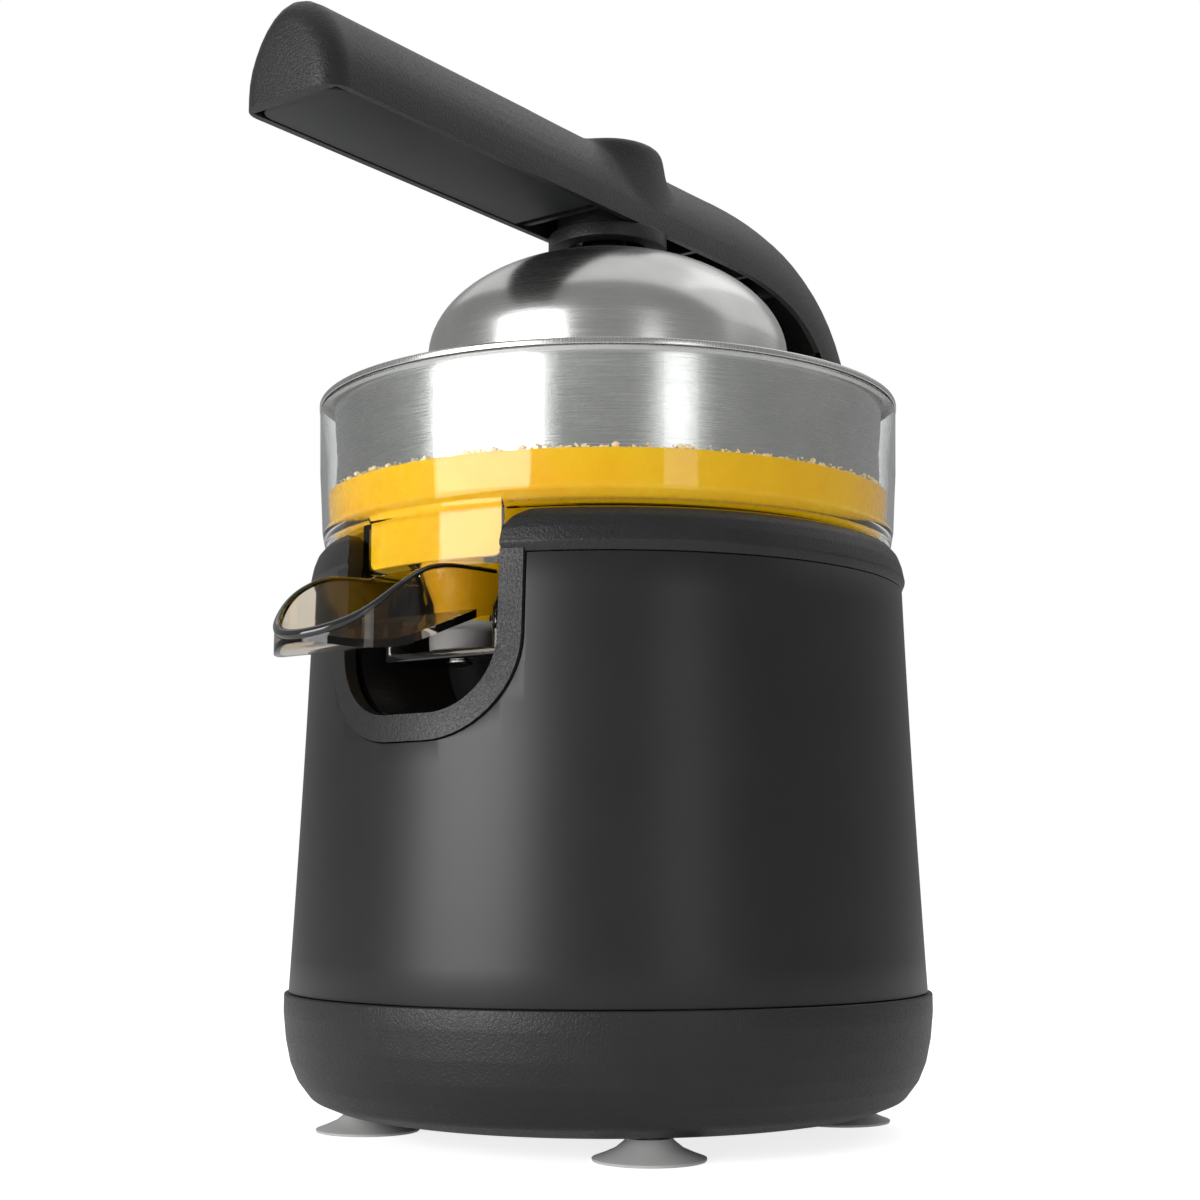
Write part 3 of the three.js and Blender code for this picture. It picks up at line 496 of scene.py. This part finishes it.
def make_base_pan():
    pan = turned("base_band", eased([
        (0, 6.0), (74.5, 6.0, 3), (80.0, 7.0, 4), (86.4, 9.6, 5), (90.4, 14.8, 5),
        (92.6, 20.0, 8), (94.0, 26.5, 12), (94.8, 34.0, 12), (94.8, 39.4, 0.5), (91.0, 39.4),
        (90.8, 44.0), (88.8, 44.0), (88.5, 20.0), (78.0, 9.0), (0, 9.0),
    ], 5), 160)
    holes = [rod("inlet", "Y", 5.2, 80, 100, (0, GROMMET_Z), 32)]
    for angle in FOOT_ANGLES:
        holes.append(rod("foot_hole", "Z", 3.8, 0, 20, polar(FOOT_CIRCLE, angle), 24))
    for angle in SCREW_ANGLES:
        holes.append(rod("screw_seat", "Z", 3.7, 0, 8.7, polar(SCREW_CIRCLE, angle), 24))
    for row in range(-2, 3):
        middle = row * VENT_PITCH
        holes.append(block("vent", -18, 18, middle - 2, middle + 2, 0, 20))
    cut(pan, joined("pan_holes", holes))
    done(pan, LEATHER, "base", ["base_pan"])

    grommet = turned("inlet_grommet", [
        (3.2, 86), (4.9, 86), (4.9, 94.9), (7, 94.9, 0.4), (7, 96.9, 0.8), (3.2, 96.9, 0.5),
    ], 40, (0, GROMMET_Z), "Y")
    done(grommet, INNER, "base", ["cord_grommet"])


def make_shell():
    shell = turned("outer_sleeve", [
        *shell_line(0, SHELL_FOOT_Z, SHELL_TOP_Z), *shell_line(-1.2, SHELL_TOP_Z, SHELL_FOOT_Z, 4),
    ], 192)
    cut(shell, slab("shell_opening", front_u(BEZEL, 0.35, 161), "Y", -110, -40))
    soften(shell, 0.3, 50, 2)
    done(shell, SHELL, "base", ["outer_shell"])


def make_collar():
    collar = turned("bowl_collar", [
        (5.6, 150), (8.6, 150), (8.6, 158), (84, 158), (84, 145), (87, 145), (87, 156.5),
        (88.6, 156.5, 0.3), (89.6, 159, 1.6), (88.8, 163, 5), (87.7, 166, 3), (85.6, COLLAR_TOP, 1.5),
        (82, COLLAR_TOP, 0.4), (82, 160.5), (8.6, 160.5), (8.6, 180, 0.4), (5.6, 180),
    ], 192)
    bezel = turned("opening_bezel", [
        *shell_line(0.8, 104, 157.5, 6), *shell_line(-3.5, 157.5, 104, 3),
    ], 192)
    meet(bezel, slab("bezel_outline", front_u(BEZEL, 0, 157.4), "Y", -110, -70))
    add(collar, bezel)
    side, top = NOTCH[0] + EAR, COLLAR_TOP - EAR
    ears = [(-NOTCH[0], 146), (NOTCH[0], 146)]
    ears += [(side + a, top + b) for a, b in (polar(EAR, 180 - 9 * k) for k in range(11))]
    ears += [(side, 173), (-side, 173)]
    ears += [(-side + a, top + b) for a, b in (polar(EAR, 90 - 9 * k) for k in range(11))]
    cut(
        collar,
        slab("notch", front_u(NOTCH, 0, 158), "Y", -110, -70),
        slab("ear_notch", ears, "Y", -110, -60),
        block("notch_way", -NOTCH[0], NOTCH[0], -100, -41, 140, 174),
    )
    soften(collar, 0.7, 42, 3)
    done(collar, LEATHER, "base", ["collar"])


def make_rear_column():
    back = smooth_line([
        (104, 52), (113, 64), (120, 82), (127, 105), (130.6, 130), (130.4, 152), (127, 163),
    ])
    outline = [(80, 52), *back, (121, 168), (80, 168)]
    column = slab("arm_column", outline, "X", -18, 18)
    hollow = [
        (70, 57), (101, 57), (115, 84), (123, 105), (126.5, 130), (126, 155), (118, 164), (70, 164),
    ]
    neck = eased([
        (101, 164), (125, 164), (126, 176, 6), (131, 186), (120, 203, 8), (106, 186), (104, 176, 6),
    ])
    casing = turned("casing", [
        (0, 30), *shell_line(0.3, SHELL_FOOT_Z, SHELL_TOP_Z, 6), (88.9, 156.3), (89.9, 159),
        (89.1, 163), (89.1, 190), (0, 190),
    ], 96)
    soften(column, 3.5, 50, 4)
    cut(column, slab("column_hollow", hollow, "X", -14.5, 14.5))
    add(
        column,
        slab("lug_neck", neck, "X", -9, 9),
        rod("lug_eye", "X", 14, -9, 9, (HINGE_Y, HINGE_Z), 64),
        block("stop_post", -7, 7, HINGE_Y - 5, HINGE_Y + 5, 196, 207.7),
    )
    cut(column, casing, rod("pin_bore", "X", 4.3, -20, 20, (HINGE_Y, HINGE_Z), 32))
    soften(column, 0.5, 50, 2)
    done(column, LEATHER, "base", ["rear_column"])


# ---------------------------------------------------------------- bowl, juice, basket and reamer


def front_pocket(name, half, low, high, corner, back, reach, steps):
    """A square pocket behind the front opening, rounded to the bowl's wall."""
    outline = eased([(-half, low, corner), (half, low, corner), (half, high), (-half, high)])
    wall = turned("pocket_reach", [(0, 140), (reach, 140), (reach, high + 5), (0, high + 5)], steps)
    return meet(slab(name, outline, "Y", -100, back), wall)


def make_bowl():
    walls = turned("clear_bowl", [
        (9, 169), (83.6, 169, 0.8), (85.7, 170.2, 1.2), (86.5, 174.5), (87.0, 184.0), (87.5, 192),
        (87.9, 211.5, 0.5), (85.9, 211.5, 0.5), (85.5, 192), (85.0, 184), (84.2, 174, 3),
        (81.5, 171, 3), (11, 171), (11, 190, 0.6), (9, 190, 0.6),
    ], 192)
    funnel = turned("funnel", [
        (0, 141), (9.5, 141, 0.3), (10, 146, 3), (14, 154.6), (14, 156), (0, 156),
    ], 64, (0, OUTLET_Y))
    add(walls, front_pocket("front_pocket", 25.5, 154.5, 170, 3, -45, 84.8, 192), funnel)
    bore = turned("outlet_bore", [
        (0, 138), (7.7, 138), (8.2, 146.3), (12, 154.8), (12, 160), (0, 160),
    ], 64, (0, OUTLET_Y))
    cut(walls, front_pocket("pocket_inside", 23.5, 156.5, 176, 2, -47, 82.8, 192), bore)
    done(walls, CLEAR, "bowl", ["juice_bowl"])


def make_juice():
    juice = turned("juice_fill", [
        (11.5, 171.3), (81.3, 171.3, 2.8), (83.9, 174.2, 2.8), (84.75, 184.7, 0.4),
        (83.0, 184.2), (82.9, 183.6), (79.6, 180.6), (11.5, 180.6),
    ], 160)
    throat = turned("throat_fill", [
        (0, 141.1), (7.4, 141.1), (7.9, 146.3), (11.6, 154.9), (11.6, 160), (0, 160),
    ], 48, (0, OUTLET_Y))
    add(juice, front_pocket("pocket_fill", 23.1, 156.9, 175, 2, -47.4, 82.4, 160), throat)
    done(juice, JUICE, "bowl")

    draw = random.Random(FOAM_SEED)
    deselect()
    bpy.ops.mesh.primitive_uv_sphere_add(segments=8, ring_count=6, radius=MM)
    bubble = bpy.context.object
    edit(bubble)
    bpy.ops.transform.resize(value=(1, 1, 0.85))
    leave()
    bubbles = []
    for i in range(FOAM_BUBBLES):
        size = 0.30 + 0.80 * draw.random() ** 3
        angle = draw.random() * FULL_TURN
        radius = 84.55 - size - draw.random() * 0.5
        height = 184.3 + draw.random() ** 2 * 1.5
        spot = Vector((radius * math.cos(angle), radius * math.sin(angle), height)) * MM
        place = Matrix.Translation(spot) @ Matrix.Scale(size, 4)
        bubbles.append(copy_of(bubble, f"bubble_{i}", place))
    bpy.data.objects.remove(bubble)
    done(joined("juice_foam", bubbles), FOAM, "bowl", smooth=80)


def make_basket():
    basket = turned("strainer_basket", [
        (12.5, 181), (79.5, 181, 2), (82.5, 184, 2.5), (82.5, 212.8, 1.6), (86.9, 212.8),
        (86.9, 211.8), (88.1, 211.8, 0.3), (88.1, 213.6, 0.5), (81.5, 214.0, 0.8), (81.5, 184.4, 2),
        (79.2, 182, 2), (13.5, 182), (13.5, 196, 0.3), (12.5, 196, 0.3),
    ], 192)
    slots = []
    for inner, outer, count in ((20, 34, 24), (38, 54, 36), (58, 76, 48)):
        slot = block("slot", inner, outer, -0.7, 0.7, 178, 185)
        slots.append(slot)
        for k in range(1, count):
            slots.append(copy_of(slot, f"slot_{inner}_{k}", Matrix.Rotation(FULL_TURN * k / count, 4, "Z")))
    cut(basket, joined("floor_slots", slots))
    done(basket, STEEL, "bowl", ["filter_basket"])
    basket.data.materials.append(RIM_STEEL)
    for face in basket.data.polygons:
        if face.center.z > 211.5 * MM and math.hypot(face.center.x, face.center.y) > 82.6 * MM:
            face.material_index = 1


def make_reamer():
    """Ten rounded flutes: a lobed outline is extruded up and drawn in to the tip."""
    lobes, around = 10, 120
    outline = []
    for k in range(around):
        angle = FULL_TURN * k / around
        ridge = (0.5 + 0.5 * math.cos(lobes * angle)) ** 0.7
        outline.append((34.5 * (0.80 + 0.20 * ridge), math.degrees(angle)))
    reamer = drawn("reamer_cone", [(*polar(r, a), 190.6) for r, a in outline])
    bpy.ops.mesh.edge_face_add()
    rise = [(190.6, 34.5), (196, 33.2), (203, 31), (210, 28.2), (218, 24.2), (226, 19.2),
            (233, 14), (238.5, 9.2), (242, 5), (243.6, 2), (244, 0.5)]
    for (z0, r0), (z1, r1) in zip(rise, rise[1:]):
        bpy.ops.mesh.extrude_region_move(TRANSFORM_OT_translate={"value": (0, 0, (z1 - z0) * MM)})
        bpy.ops.transform.resize(value=(r1 / r0, r1 / r0, 1), center_override=(0, 0, z1 * MM))
    weld_and_face_out()
    leave()
    skirt = turned("reamer_skirt", [
        (0, 186.5), (36, 186.5, 0.8), (36, 189.4, 1.2), (32, 191.4), (0, 191.4),
    ], 96)
    add(reamer, skirt)
    hollow = turned("reamer_hollow", [(0, 180), (33, 180), (22, 194), (15.5, 202), (0, 202)], 64)
    socket = slab("socket", [polar(4.4, 60 * k + 30) for k in range(6)], "Z", 199, 220.3)
    cut(reamer, hollow, socket)
    done(reamer, INNER, "reamer_on_spindle", ["reamer"], 40)


# ---------------------------------------------------------------- spout and outlet seal

SPOUT_TOP = smooth_line([
    (-77, 153.1), (-88, 152.8), (-97, 152.2), (-104, 150.6), (-111, 147.2), (-117, 142.8),
    (-124, 136.6), (-131, 131.6),
], 5)
SPOUT_UNDER = smooth_line([
    (-131, 130.2), (-125, 128.6), (-115, 129.3), (-105, 132.5), (-95, 136.2), (-84, 140.2),
], 5)


def spout_top(y):
    """The height of the spout's edge at a distance in front of the spindle."""
    for (y0, z0), (y1, z1) in zip(SPOUT_TOP, SPOUT_TOP[1:]):
        if y1 <= y <= y0:
            return z0 + (z1 - z0) * (y - y0) / (y1 - y0)
    return SPOUT_TOP[-1][1]


def spout_plan(name, inset):
    half = SPOUT_HALF - inset
    tip = [(half * math.cos(a), -111 - half * math.sin(a)) for a in (math.pi * k / 32 for k in range(33))]
    return slab(name, [(-half, -30), (half, -30), *tip], "Z", 100, 200)


def make_spout():
    rear = [(-77, 141.5), (-43.5, 141.5), (-43.5, 151), (-46, 153.1)]
    scoop = slab("spout_scoop", [*SPOUT_TOP, *SPOUT_UNDER, *rear], "X", -SPOUT_HALF, SPOUT_HALF)
    meet(scoop, spout_plan("plan", 0))
    floor = smooth_line([
        (-129, 132.2), (-124, 130.8), (-115, 131.4), (-105, 134.6), (-95, 138.2), (-84.3, 142.2),
    ], 5)
    well = slab("well", [
        (-140, 200), (-140, 134), *floor, (-84.3, 120), (-40, 120), (-40, 200),
    ], "X", -40, 40)
    meet(well, spout_plan("well_plan", 1.8))
    pivot = rod("pivot", "X", 2.3, -30, 30, (-48, 147), 24)
    cut(scoop, well, pivot)
    done(scoop, SMOKED, "spout_assembly", ["spout"], 40)

    strap = slab("spout_strap", eased([
        (-20, 131, 0.8), (20, 131, 0.8), (20, 143), (18.2, 143), (18.2, 133.2, 1), (-18.2, 133.2, 1),
        (-18.2, 143), (-20, 143),
    ]), "Y", -77, -59)
    cut(strap, rod("strap_hole", "Z", 2.3, 120, 140, (0, OUTLET_Y), 24))
    soften(strap, 0.3, 50, 2)
    done(strap, SMOKED_EDGE, "spout_assembly")

    deselect()
    path = [(19.2, y, z, 0.65) for y, z in SPOUT_TOP if y > -111]
    for k in range(33):
        angle = math.pi * k / 32
        y = -111 - 19.2 * math.sin(angle)
        path.append((19.2 * math.cos(angle), y, spout_top(y), 0.65 + 0.85 * math.sin(angle) ** 1.5))
    path += [(-19.2, y, z, 0.65) for y, z in reversed(SPOUT_TOP) if y > -111]
    bpy.ops.curve.primitive_nurbs_path_add()
    rim = bpy.context.object
    rim.name = "spout_rim"
    line = rim.data
    line.splines.clear()
    spline = line.splines.new("POLY")
    spline.points.add(len(path) - 1)
    for point, (x, y, z, r) in zip(spline.points, path):
        point.co = (x * MM, y * MM, z * MM, 1)
        point.radius = r
    line.bevel_depth = MM
    line.bevel_resolution = 3
    line.use_fill_caps = True
    bpy.ops.object.convert(target="MESH")
    rim = bpy.context.object
    edit(rim)
    weld_and_face_out()
    leave()
    done(rim, SMOKED_EDGE, "spout_assembly", smooth=60)

    seal = turned("drip_seal", [
        (0, 140.7), (14.6, 140.7, 0.5), (15, 139.6, 0.4), (14.2, 139.0), (9, 138.8, 0.6),
        (8.8, 133.5, 0.4), (2.3, 133.5), (2.3, 137.5), (0, 137.5),
    ], 64, (0, OUTLET_Y))
    done(seal, SILICONE, "spout_assembly", ["outlet_seal"])
    screw = turned("seal_fixing", [
        (0, 129.0), (2.6, 129.4, 0.6), (4.0, 130.4, 0.3), (4.0, 130.9), (2.0, 130.9), (2.0, 137), (0, 137),
    ], 32, (0, OUTLET_Y))
    cut(screw, block("drive_slot", -3, 3, OUTLET_Y - 0.4, OUTLET_Y + 0.4, 128, 129.9))
    done(screw, STEEL, "spout_assembly", ["seal_screw"])


# ---------------------------------------------------------------- arm and press cup


def arm_section(inset):
    """Half round over straight sides, `inset` inside the outer skin."""
    half, top = ARM_HALF - inset, ARM_HEIGHT - inset
    foot = -1.5 if inset else 0
    side = [(half, foot), (half, 3.5), (half * 0.985, 7.5), (half * 0.93, 11.5), (half * 0.84, 15.2)]
    side += [(half * 0.72, top - 8.6), (half * 0.57, top - 5.3)]
    side += [(half * 0.39, top - 2.5), (half * 0.20, top - 0.7)]
    return side + [(0, top)] + [(-x, z) for x, z in reversed(side)]


def bend_point(t):
    """The arm's inner line behind the cup, and its slope there."""
    p = [Vector(v) for v in ((45, 270), (82, 270), (110, 262), (111, 226))]
    s = 1 - t
    point = s ** 3 * p[0] + 3 * s * s * t * p[1] + 3 * s * t * t * p[2] + t ** 3 * p[3]
    slope = 3 * s * s * (p[1] - p[0]) + 6 * s * t * (p[2] - p[1]) + 3 * t * t * (p[3] - p[2])
    return point, math.atan2(slope.y, slope.x)


def arm_stations():
    """(y, z, slope, height) of the arm's sections from the boss to the hinge."""
    yield -17, ARM_UNDER, 0.0, ARM_HEIGHT
    yield 17, ARM_UNDER, 0.0, REAR_HEIGHT
    yield 45, ARM_UNDER, 0.0, REAR_HEIGHT
    for k in range(1, BEND_STEPS + 1):
        t = k / BEND_STEPS
        point, slope = bend_point(t)
        yield point.x, point.y, slope, REAR_HEIGHT + 5.0 * t ** 1.3
    leg = ((108.4, 218, 33.9), (105.8, 210, 36.2), (103.2, 200, 38.2), (101.0, 190, 39.4))
    for y, z, height in leg:
        yield y, z, -math.pi / 2, height


def arm_bar(name, inset, front):
    """The arched section drawn out along the handle, round the bend and down to the hinge."""
    obj = drawn(name, [(x, front, ARM_UNDER + z) for x, z in arm_section(inset)])
    bpy.ops.mesh.edge_face_add()
    if not inset:
        radius, steps = 7.0, 7
        wide, tall = 1 - radius / ARM_HALF, 1 - radius / ARM_HEIGHT
        bpy.ops.transform.resize(value=(wide, 1, tall), center_override=Vector((0, front, ARM_UNDER)) * MM)
        for k in range(1, steps + 1):
            angle = math.pi / 2 * k / steps
            step = radius * (math.cos(math.pi / 2 * (k - 1) / steps) - math.cos(angle))
            bpy.ops.mesh.extrude_region_move(TRANSFORM_OT_translate={"value": (0, step * MM, 0)})
            front += step
            now_wide = 1 - radius * (1 - math.sin(angle)) / ARM_HALF
            now_tall = 1 - radius * (1 - math.sin(angle)) / ARM_HEIGHT
            bpy.ops.transform.resize(value=(now_wide / wide, 1, now_tall / tall),
                                     center_override=Vector((0, front, ARM_UNDER)) * MM)
            wide, tall = now_wide, now_tall
    at, lean, height = Vector((0, front, ARM_UNDER)) * MM, 0.0, ARM_HEIGHT
    stations = list(arm_stations())
    if inset:
        stations.append((96.0, 165, -math.pi / 2, 44.0))
    for y, z, slope, tall in stations:
        there = Vector((0, y, z)) * MM
        bpy.ops.mesh.extrude_region_move(TRANSFORM_OT_translate={"value": (0, 0, 0)})
        bpy.ops.transform.rotate(value=lean, orient_axis="X", center_override=at)
        bpy.ops.transform.translate(value=there - at)
        factor = (tall - inset) / (height - inset)
        bpy.ops.transform.resize(value=(1, 1, factor), center_override=there)
        bpy.ops.transform.rotate(value=-slope, orient_axis="X", center_override=there)
        at, lean, height = there, slope, tall
    weld_and_face_out()
    leave()
    return obj


def make_arm():
    arm = arm_bar("lever_arm", 0, -140)
    add(arm, rod("hinge_eye", "X", 20, -ARM_HALF, ARM_HALF, (HINGE_Y, HINGE_Z), 96))
    rise = [(272, 16.4, 42), (276.6, 16.7, 40), (278.4, 16.8, 34), (281.0, 16.9, 30),
            (284.0, 17.0, 26.4), (287.0, 17.1, 23.4), (290.0, 17.2, 20.8), (293.0, 17.3, 18.8),
            (296.0, 17.3, 17.6), (297.2, 16.7, 16.8), (297.8, 15.4, 15.4)]
    boss = drawn("arm_boss", [(rise[0][1] * a, rise[0][2] * b, rise[0][0]) for a, b in
                              (polar(1, 3.75 * k) for k in range(96))])
    bpy.ops.mesh.edge_face_add()
    for (z0, x0, y0), (z1, x1, y1) in zip(rise, rise[1:]):
        bpy.ops.mesh.extrude_region_move(TRANSFORM_OT_translate={"value": (0, 0, (z1 - z0) * MM)})
        bpy.ops.transform.resize(value=(x1 / x0, y1 / y0, 1), center_override=(0, 0, z1 * MM))
    weld_and_face_out()
    leave()
    add(arm, boss)
    soften(arm, 1.3, 35, 4)
    blend = copy_of(arm, "boss_blend", Matrix())
    meet(blend, block("blend_reach", -30, 30, -60, 60, 260, 310))
    apply_modifier(blend, "REMESH", mode="VOXEL", voxel_size=0.9 * MM, use_smooth_shade=True)
    near_boss = blend.vertex_groups.new(name="near_boss")
    for vertex in blend.data.vertices:
        away = max(abs(vertex.co.y) / MM - 34, 0) / 13
        low = max(282 - vertex.co.z / MM, 0) / 5
        near_boss.add([vertex.index], max(0, 1 - max(away, low)), "REPLACE")
    apply_modifier(blend, "SMOOTH", factor=0.5, iterations=40, vertex_group="near_boss")
    blend.vertex_groups.clear()
    meet(blend, block("blend_patch", -30, 30, -48, 48, 276.5, 310))
    cut(arm, block("blend_place", -30, 30, -48, 48, 276.5, 310))
    add(arm, blend)
    inside = ARM_HALF - 2
    cut(arm, arm_bar("arm_hollow", 2, -136.2))
    cut(arm, block("eye_gap", -inside, inside, 100, 145, 160, 197))
    tower = turned("hub_tower", [
        (0, 265.3), (18.5, 265.3, 0.6), (18.5, 269.9, 0.3), (15.8, 269.9), (15.8, 292), (0, 292),
    ], 96)
    add(arm, tower)
    ribs = [block("rib", -16.5, 16.5, y, y + 2, 271, 296) for y in (-24, 28, 60, 84)]
    ribs.append(block("web", -16.5, 16.5, 112, 140, 211, 214))
    add(arm, meet(joined("arm_ribs", ribs), arm_bar("rib_limit", 1, -138)))
    add(
        arm,
        rod("eye_boss", "X", 9, -inside - 0.5, -9.8, (HINGE_Y, HINGE_Z), 48),
        rod("eye_boss", "X", 9, 9.8, inside + 0.5, (HINGE_Y, HINGE_Z), 48),
    )
    cut(
        arm,
        rod("hub_bore", "Z", 13.5, 260, 288, (0, 0), 64),
        rod("pivot_bore", "X", 2.3, -16.2, 16.2, (0, PIVOT_Z), 24),
        rod("cap_seat", "X", 7.8, 15.6, 20, (HINGE_Y, HINGE_Z), 48),
        rod("cap_seat", "X", 7.8, -20, -15.6, (HINGE_Y, HINGE_Z), 48),
        rod("eye_bore", "X", 6.2, -16, 16, (HINGE_Y, HINGE_Z), 48),
    )
    done(arm, LEATHER, "arm", ["arm_shell"], 38)

    tip = [(-8.7, -130, 0), (8.7, -130, 0)]
    corners = [(14.7, -28), (-14.7, -28)]
    corners += [(tip[0][0] + a, tip[0][1] + b) for a, b in (polar(6, 180 + 11.25 * k) for k in range(9))]
    corners += [(tip[1][0] + a, tip[1][1] + b) for a, b in (polar(6, 270 + 11.25 * k) for k in range(9))]
    plate = slab("handle_plate", corners, "Z", 270.2, 272.4)
    soften(plate, 0.25, 50, 2)
    done(plate, PLATE, "arm", ["arm_cover_plate"])

    pin = rod("cup_pin", "X", 2, -16.1, 16.1, (0, PIVOT_Z), 24)
    done(pin, PARTS_STEEL, "arm", ["cup_pivot_pin"])

    for name, side in (("left", -1), ("right", 1)):
        cap = turned(f"pin_cap_{name}", [
            (0, side * 15.8), (7.5, side * 15.8), (7.5, side * 17.1, 0.5), (6.6, side * 17.3),
            (0, side * 17.3),
        ], 48, (HINGE_Y, HINGE_Z), "X")
        done(cap, INNER, "arm", [f"hinge_cap_{name}"])


def make_press_cup():
    rise, centre, radius = 32.4, 230.7, 55.5
    sweep = [math.pi / 2 * k / 28 for k in range(24)]
    outer = [(radius * math.cos(a), centre + rise * math.sin(a)) for a in sweep]
    outer = [p for p in outer if p[1] < 261.3]
    inner = [((radius - 1) * math.cos(a), centre + (rise - 1) * math.sin(a)) for a in sweep]
    inner = [p for p in inner if p[1] < 260.2]
    cup = turned("press_dome", [
        (2.1, 261.9), (11.0, 261.9, 3), *reversed(outer), (55.5, 206, 0.35), (54.5, 206, 0.35),
        *inner, (11.5, 260.9), (2.1, 260.9),
    ], 160)
    done(cup, STEEL, "cup", ["press_cup"])
    neck = turned("dome_neck", [
        (2.1, 262.2), (12.3, 262.2, 0.3), (12.3, 264.2, 0.8), (9.6, 265.2, 1), (8, 268, 1),
        (8, 284, 0.6), (2.1, 284),
    ], 64)
    cut(neck, rod("neck_bore", "X", 2.3, -20, 20, (0, PIVOT_Z), 24))
    done(neck, SMOKED_EDGE, "cup", ["cup_neck"])


# ---------------------------------------------------------------- carried-over parts


def paint_inner_parts():
    for node in frame["nodes"].values():
        for place in node.material_slots:
            name = place.material.name.split(".")[0] if place.material else ""
            place.material = FINISHES.get(name, INNER)


# ---------------------------------------------------------------- floor, light and camera


def count(nodes, links, operation, first, second):
    """One sum in the room light's nodes."""
    node = nodes.new("ShaderNodeMath")
    node.operation = operation
    links.new(first, node.inputs[0])
    if isinstance(second, float):
        node.inputs[1].default_value = second
    else:
        links.new(second, node.inputs[1])
    return node.outputs["Value"]


def first_sight(tree):
    """1 where the camera sees a surface directly or straight through clear plastic, else 0."""
    nodes, links = tree.nodes, tree.links
    paths = nodes.new("ShaderNodeLightPath")
    bounces = count(nodes, links, "ADD", paths.outputs["Glossy Depth"], paths.outputs["Diffuse Depth"])
    first = count(nodes, links, "LESS_THAN", bounces, 0.5)
    straight = count(nodes, links, "MULTIPLY", first, paths.outputs["Is Transmission Ray"])
    return count(nodes, links, "MAXIMUM", straight, paths.outputs["Is Camera Ray"])


# strength of the floor's and the room's glow: as a light on the juicer, and as the camera sees it
FLOOR_GLOW = (0.15, 0.80)
ROOM_GLOW = (0.29, 1.0)


def make_stage():
    deselect()
    bpy.ops.mesh.primitive_plane_add(size=12)
    floor = bpy.context.object
    floor.name = "floor"
    material, tree, principled = shader("pale_floor", Roughness=0.6, Specular_IOR_Level=0.2,
                                        Emission_Color=(1, 1, 1, 1))
    grey = tones(tree, pattern(tree, 60, detail=2.0), (0.86, 0.86, 0.86), (0.88, 0.88, 0.88))
    tree.links.new(grey, principled.inputs["Base Color"])
    glow = spread(tree, first_sight(tree), *FLOOR_GLOW, 0, 1)
    tree.links.new(glow, principled.inputs["Emission Strength"])
    floor.data.materials.append(material)

    world = bpy.data.worlds.new("studio")
    bpy.context.scene.world = world
    world.use_nodes = True
    tree = world.node_tree
    room = tree.nodes["Background"]
    room.inputs["Color"].default_value = (1, 1, 1, 1)
    glow = spread(tree, first_sight(tree), *ROOM_GLOW, 0, 1)
    tree.links.new(glow, room.inputs["Strength"])


CAMERA_BEARING = -53.7  # the camera's own bearing from +X, in degrees
CAMERA_AT = (0.3443, -0.4693, 0.0725)
CAMERA_PITCH, CAMERA_HEADING = 98.153, 36.5
CAMERA_LENS, CAMERA_SENSOR = 57.86, 36
LIGHT_TARGET = Vector((0, 0, 0.15))
# name, bearing from the camera's, elevation, distance, size and power of each soft light
SOFT_BOXES = (
    ("key_left", -48, 9, 1.3, (0.92, 0.56), 11.8),
    ("strip_right", 27, 6, 1.6, (0.36, 0.58), 1.35),
    ("arm_side", 107, 42, 1.4, (1.5, 1.1), 2.5),
    ("top", 180, 74, 1.6, (2.2, 2.2), 7.5),
)


def soft_box(name, turn, elevation, distance, size, power):
    """A soft light, turned in degrees from the camera's bearing and facing the juicer."""
    data = bpy.data.lights.new(name, "AREA")
    data.shape = "RECTANGLE"
    data.size, data.size_y = size
    data.energy = power
    light = bpy.data.objects.new(name, data)
    bpy.context.scene.collection.objects.link(light)
    a, e = math.radians(CAMERA_BEARING + turn), math.radians(elevation)
    bearing = Vector((math.cos(a) * math.cos(e), math.sin(a) * math.cos(e), math.sin(e)))
    light.location = LIGHT_TARGET + distance * bearing
    light.rotation_euler = (LIGHT_TARGET - light.location).to_track_quat("-Z", "Y").to_euler()


def light_and_camera():
    for box in SOFT_BOXES:
        soft_box(*box)
    data = bpy.data.cameras.new("camera")
    data.sensor_width = CAMERA_SENSOR
    data.lens = CAMERA_LENS
    data.clip_start = 0.01
    camera = bpy.data.objects.new("camera", data)
    bpy.context.scene.collection.objects.link(camera)
    camera.location = CAMERA_AT
    camera.rotation_euler = (math.radians(CAMERA_PITCH), 0, math.radians(CAMERA_HEADING))
    bpy.context.scene.camera = camera
    bpy.context.scene.view_settings.view_transform = "Standard"


paint_inner_parts()
make_feet()
make_base_pan()
make_shell()
make_collar()
make_rear_column()
make_bowl()
make_juice()
make_basket()
make_reamer()
make_spout()
make_arm()
make_press_cup()
make_stage()
light_and_camera()

for piece in bpy.context.scene.objects:
    piece.select_set(False)
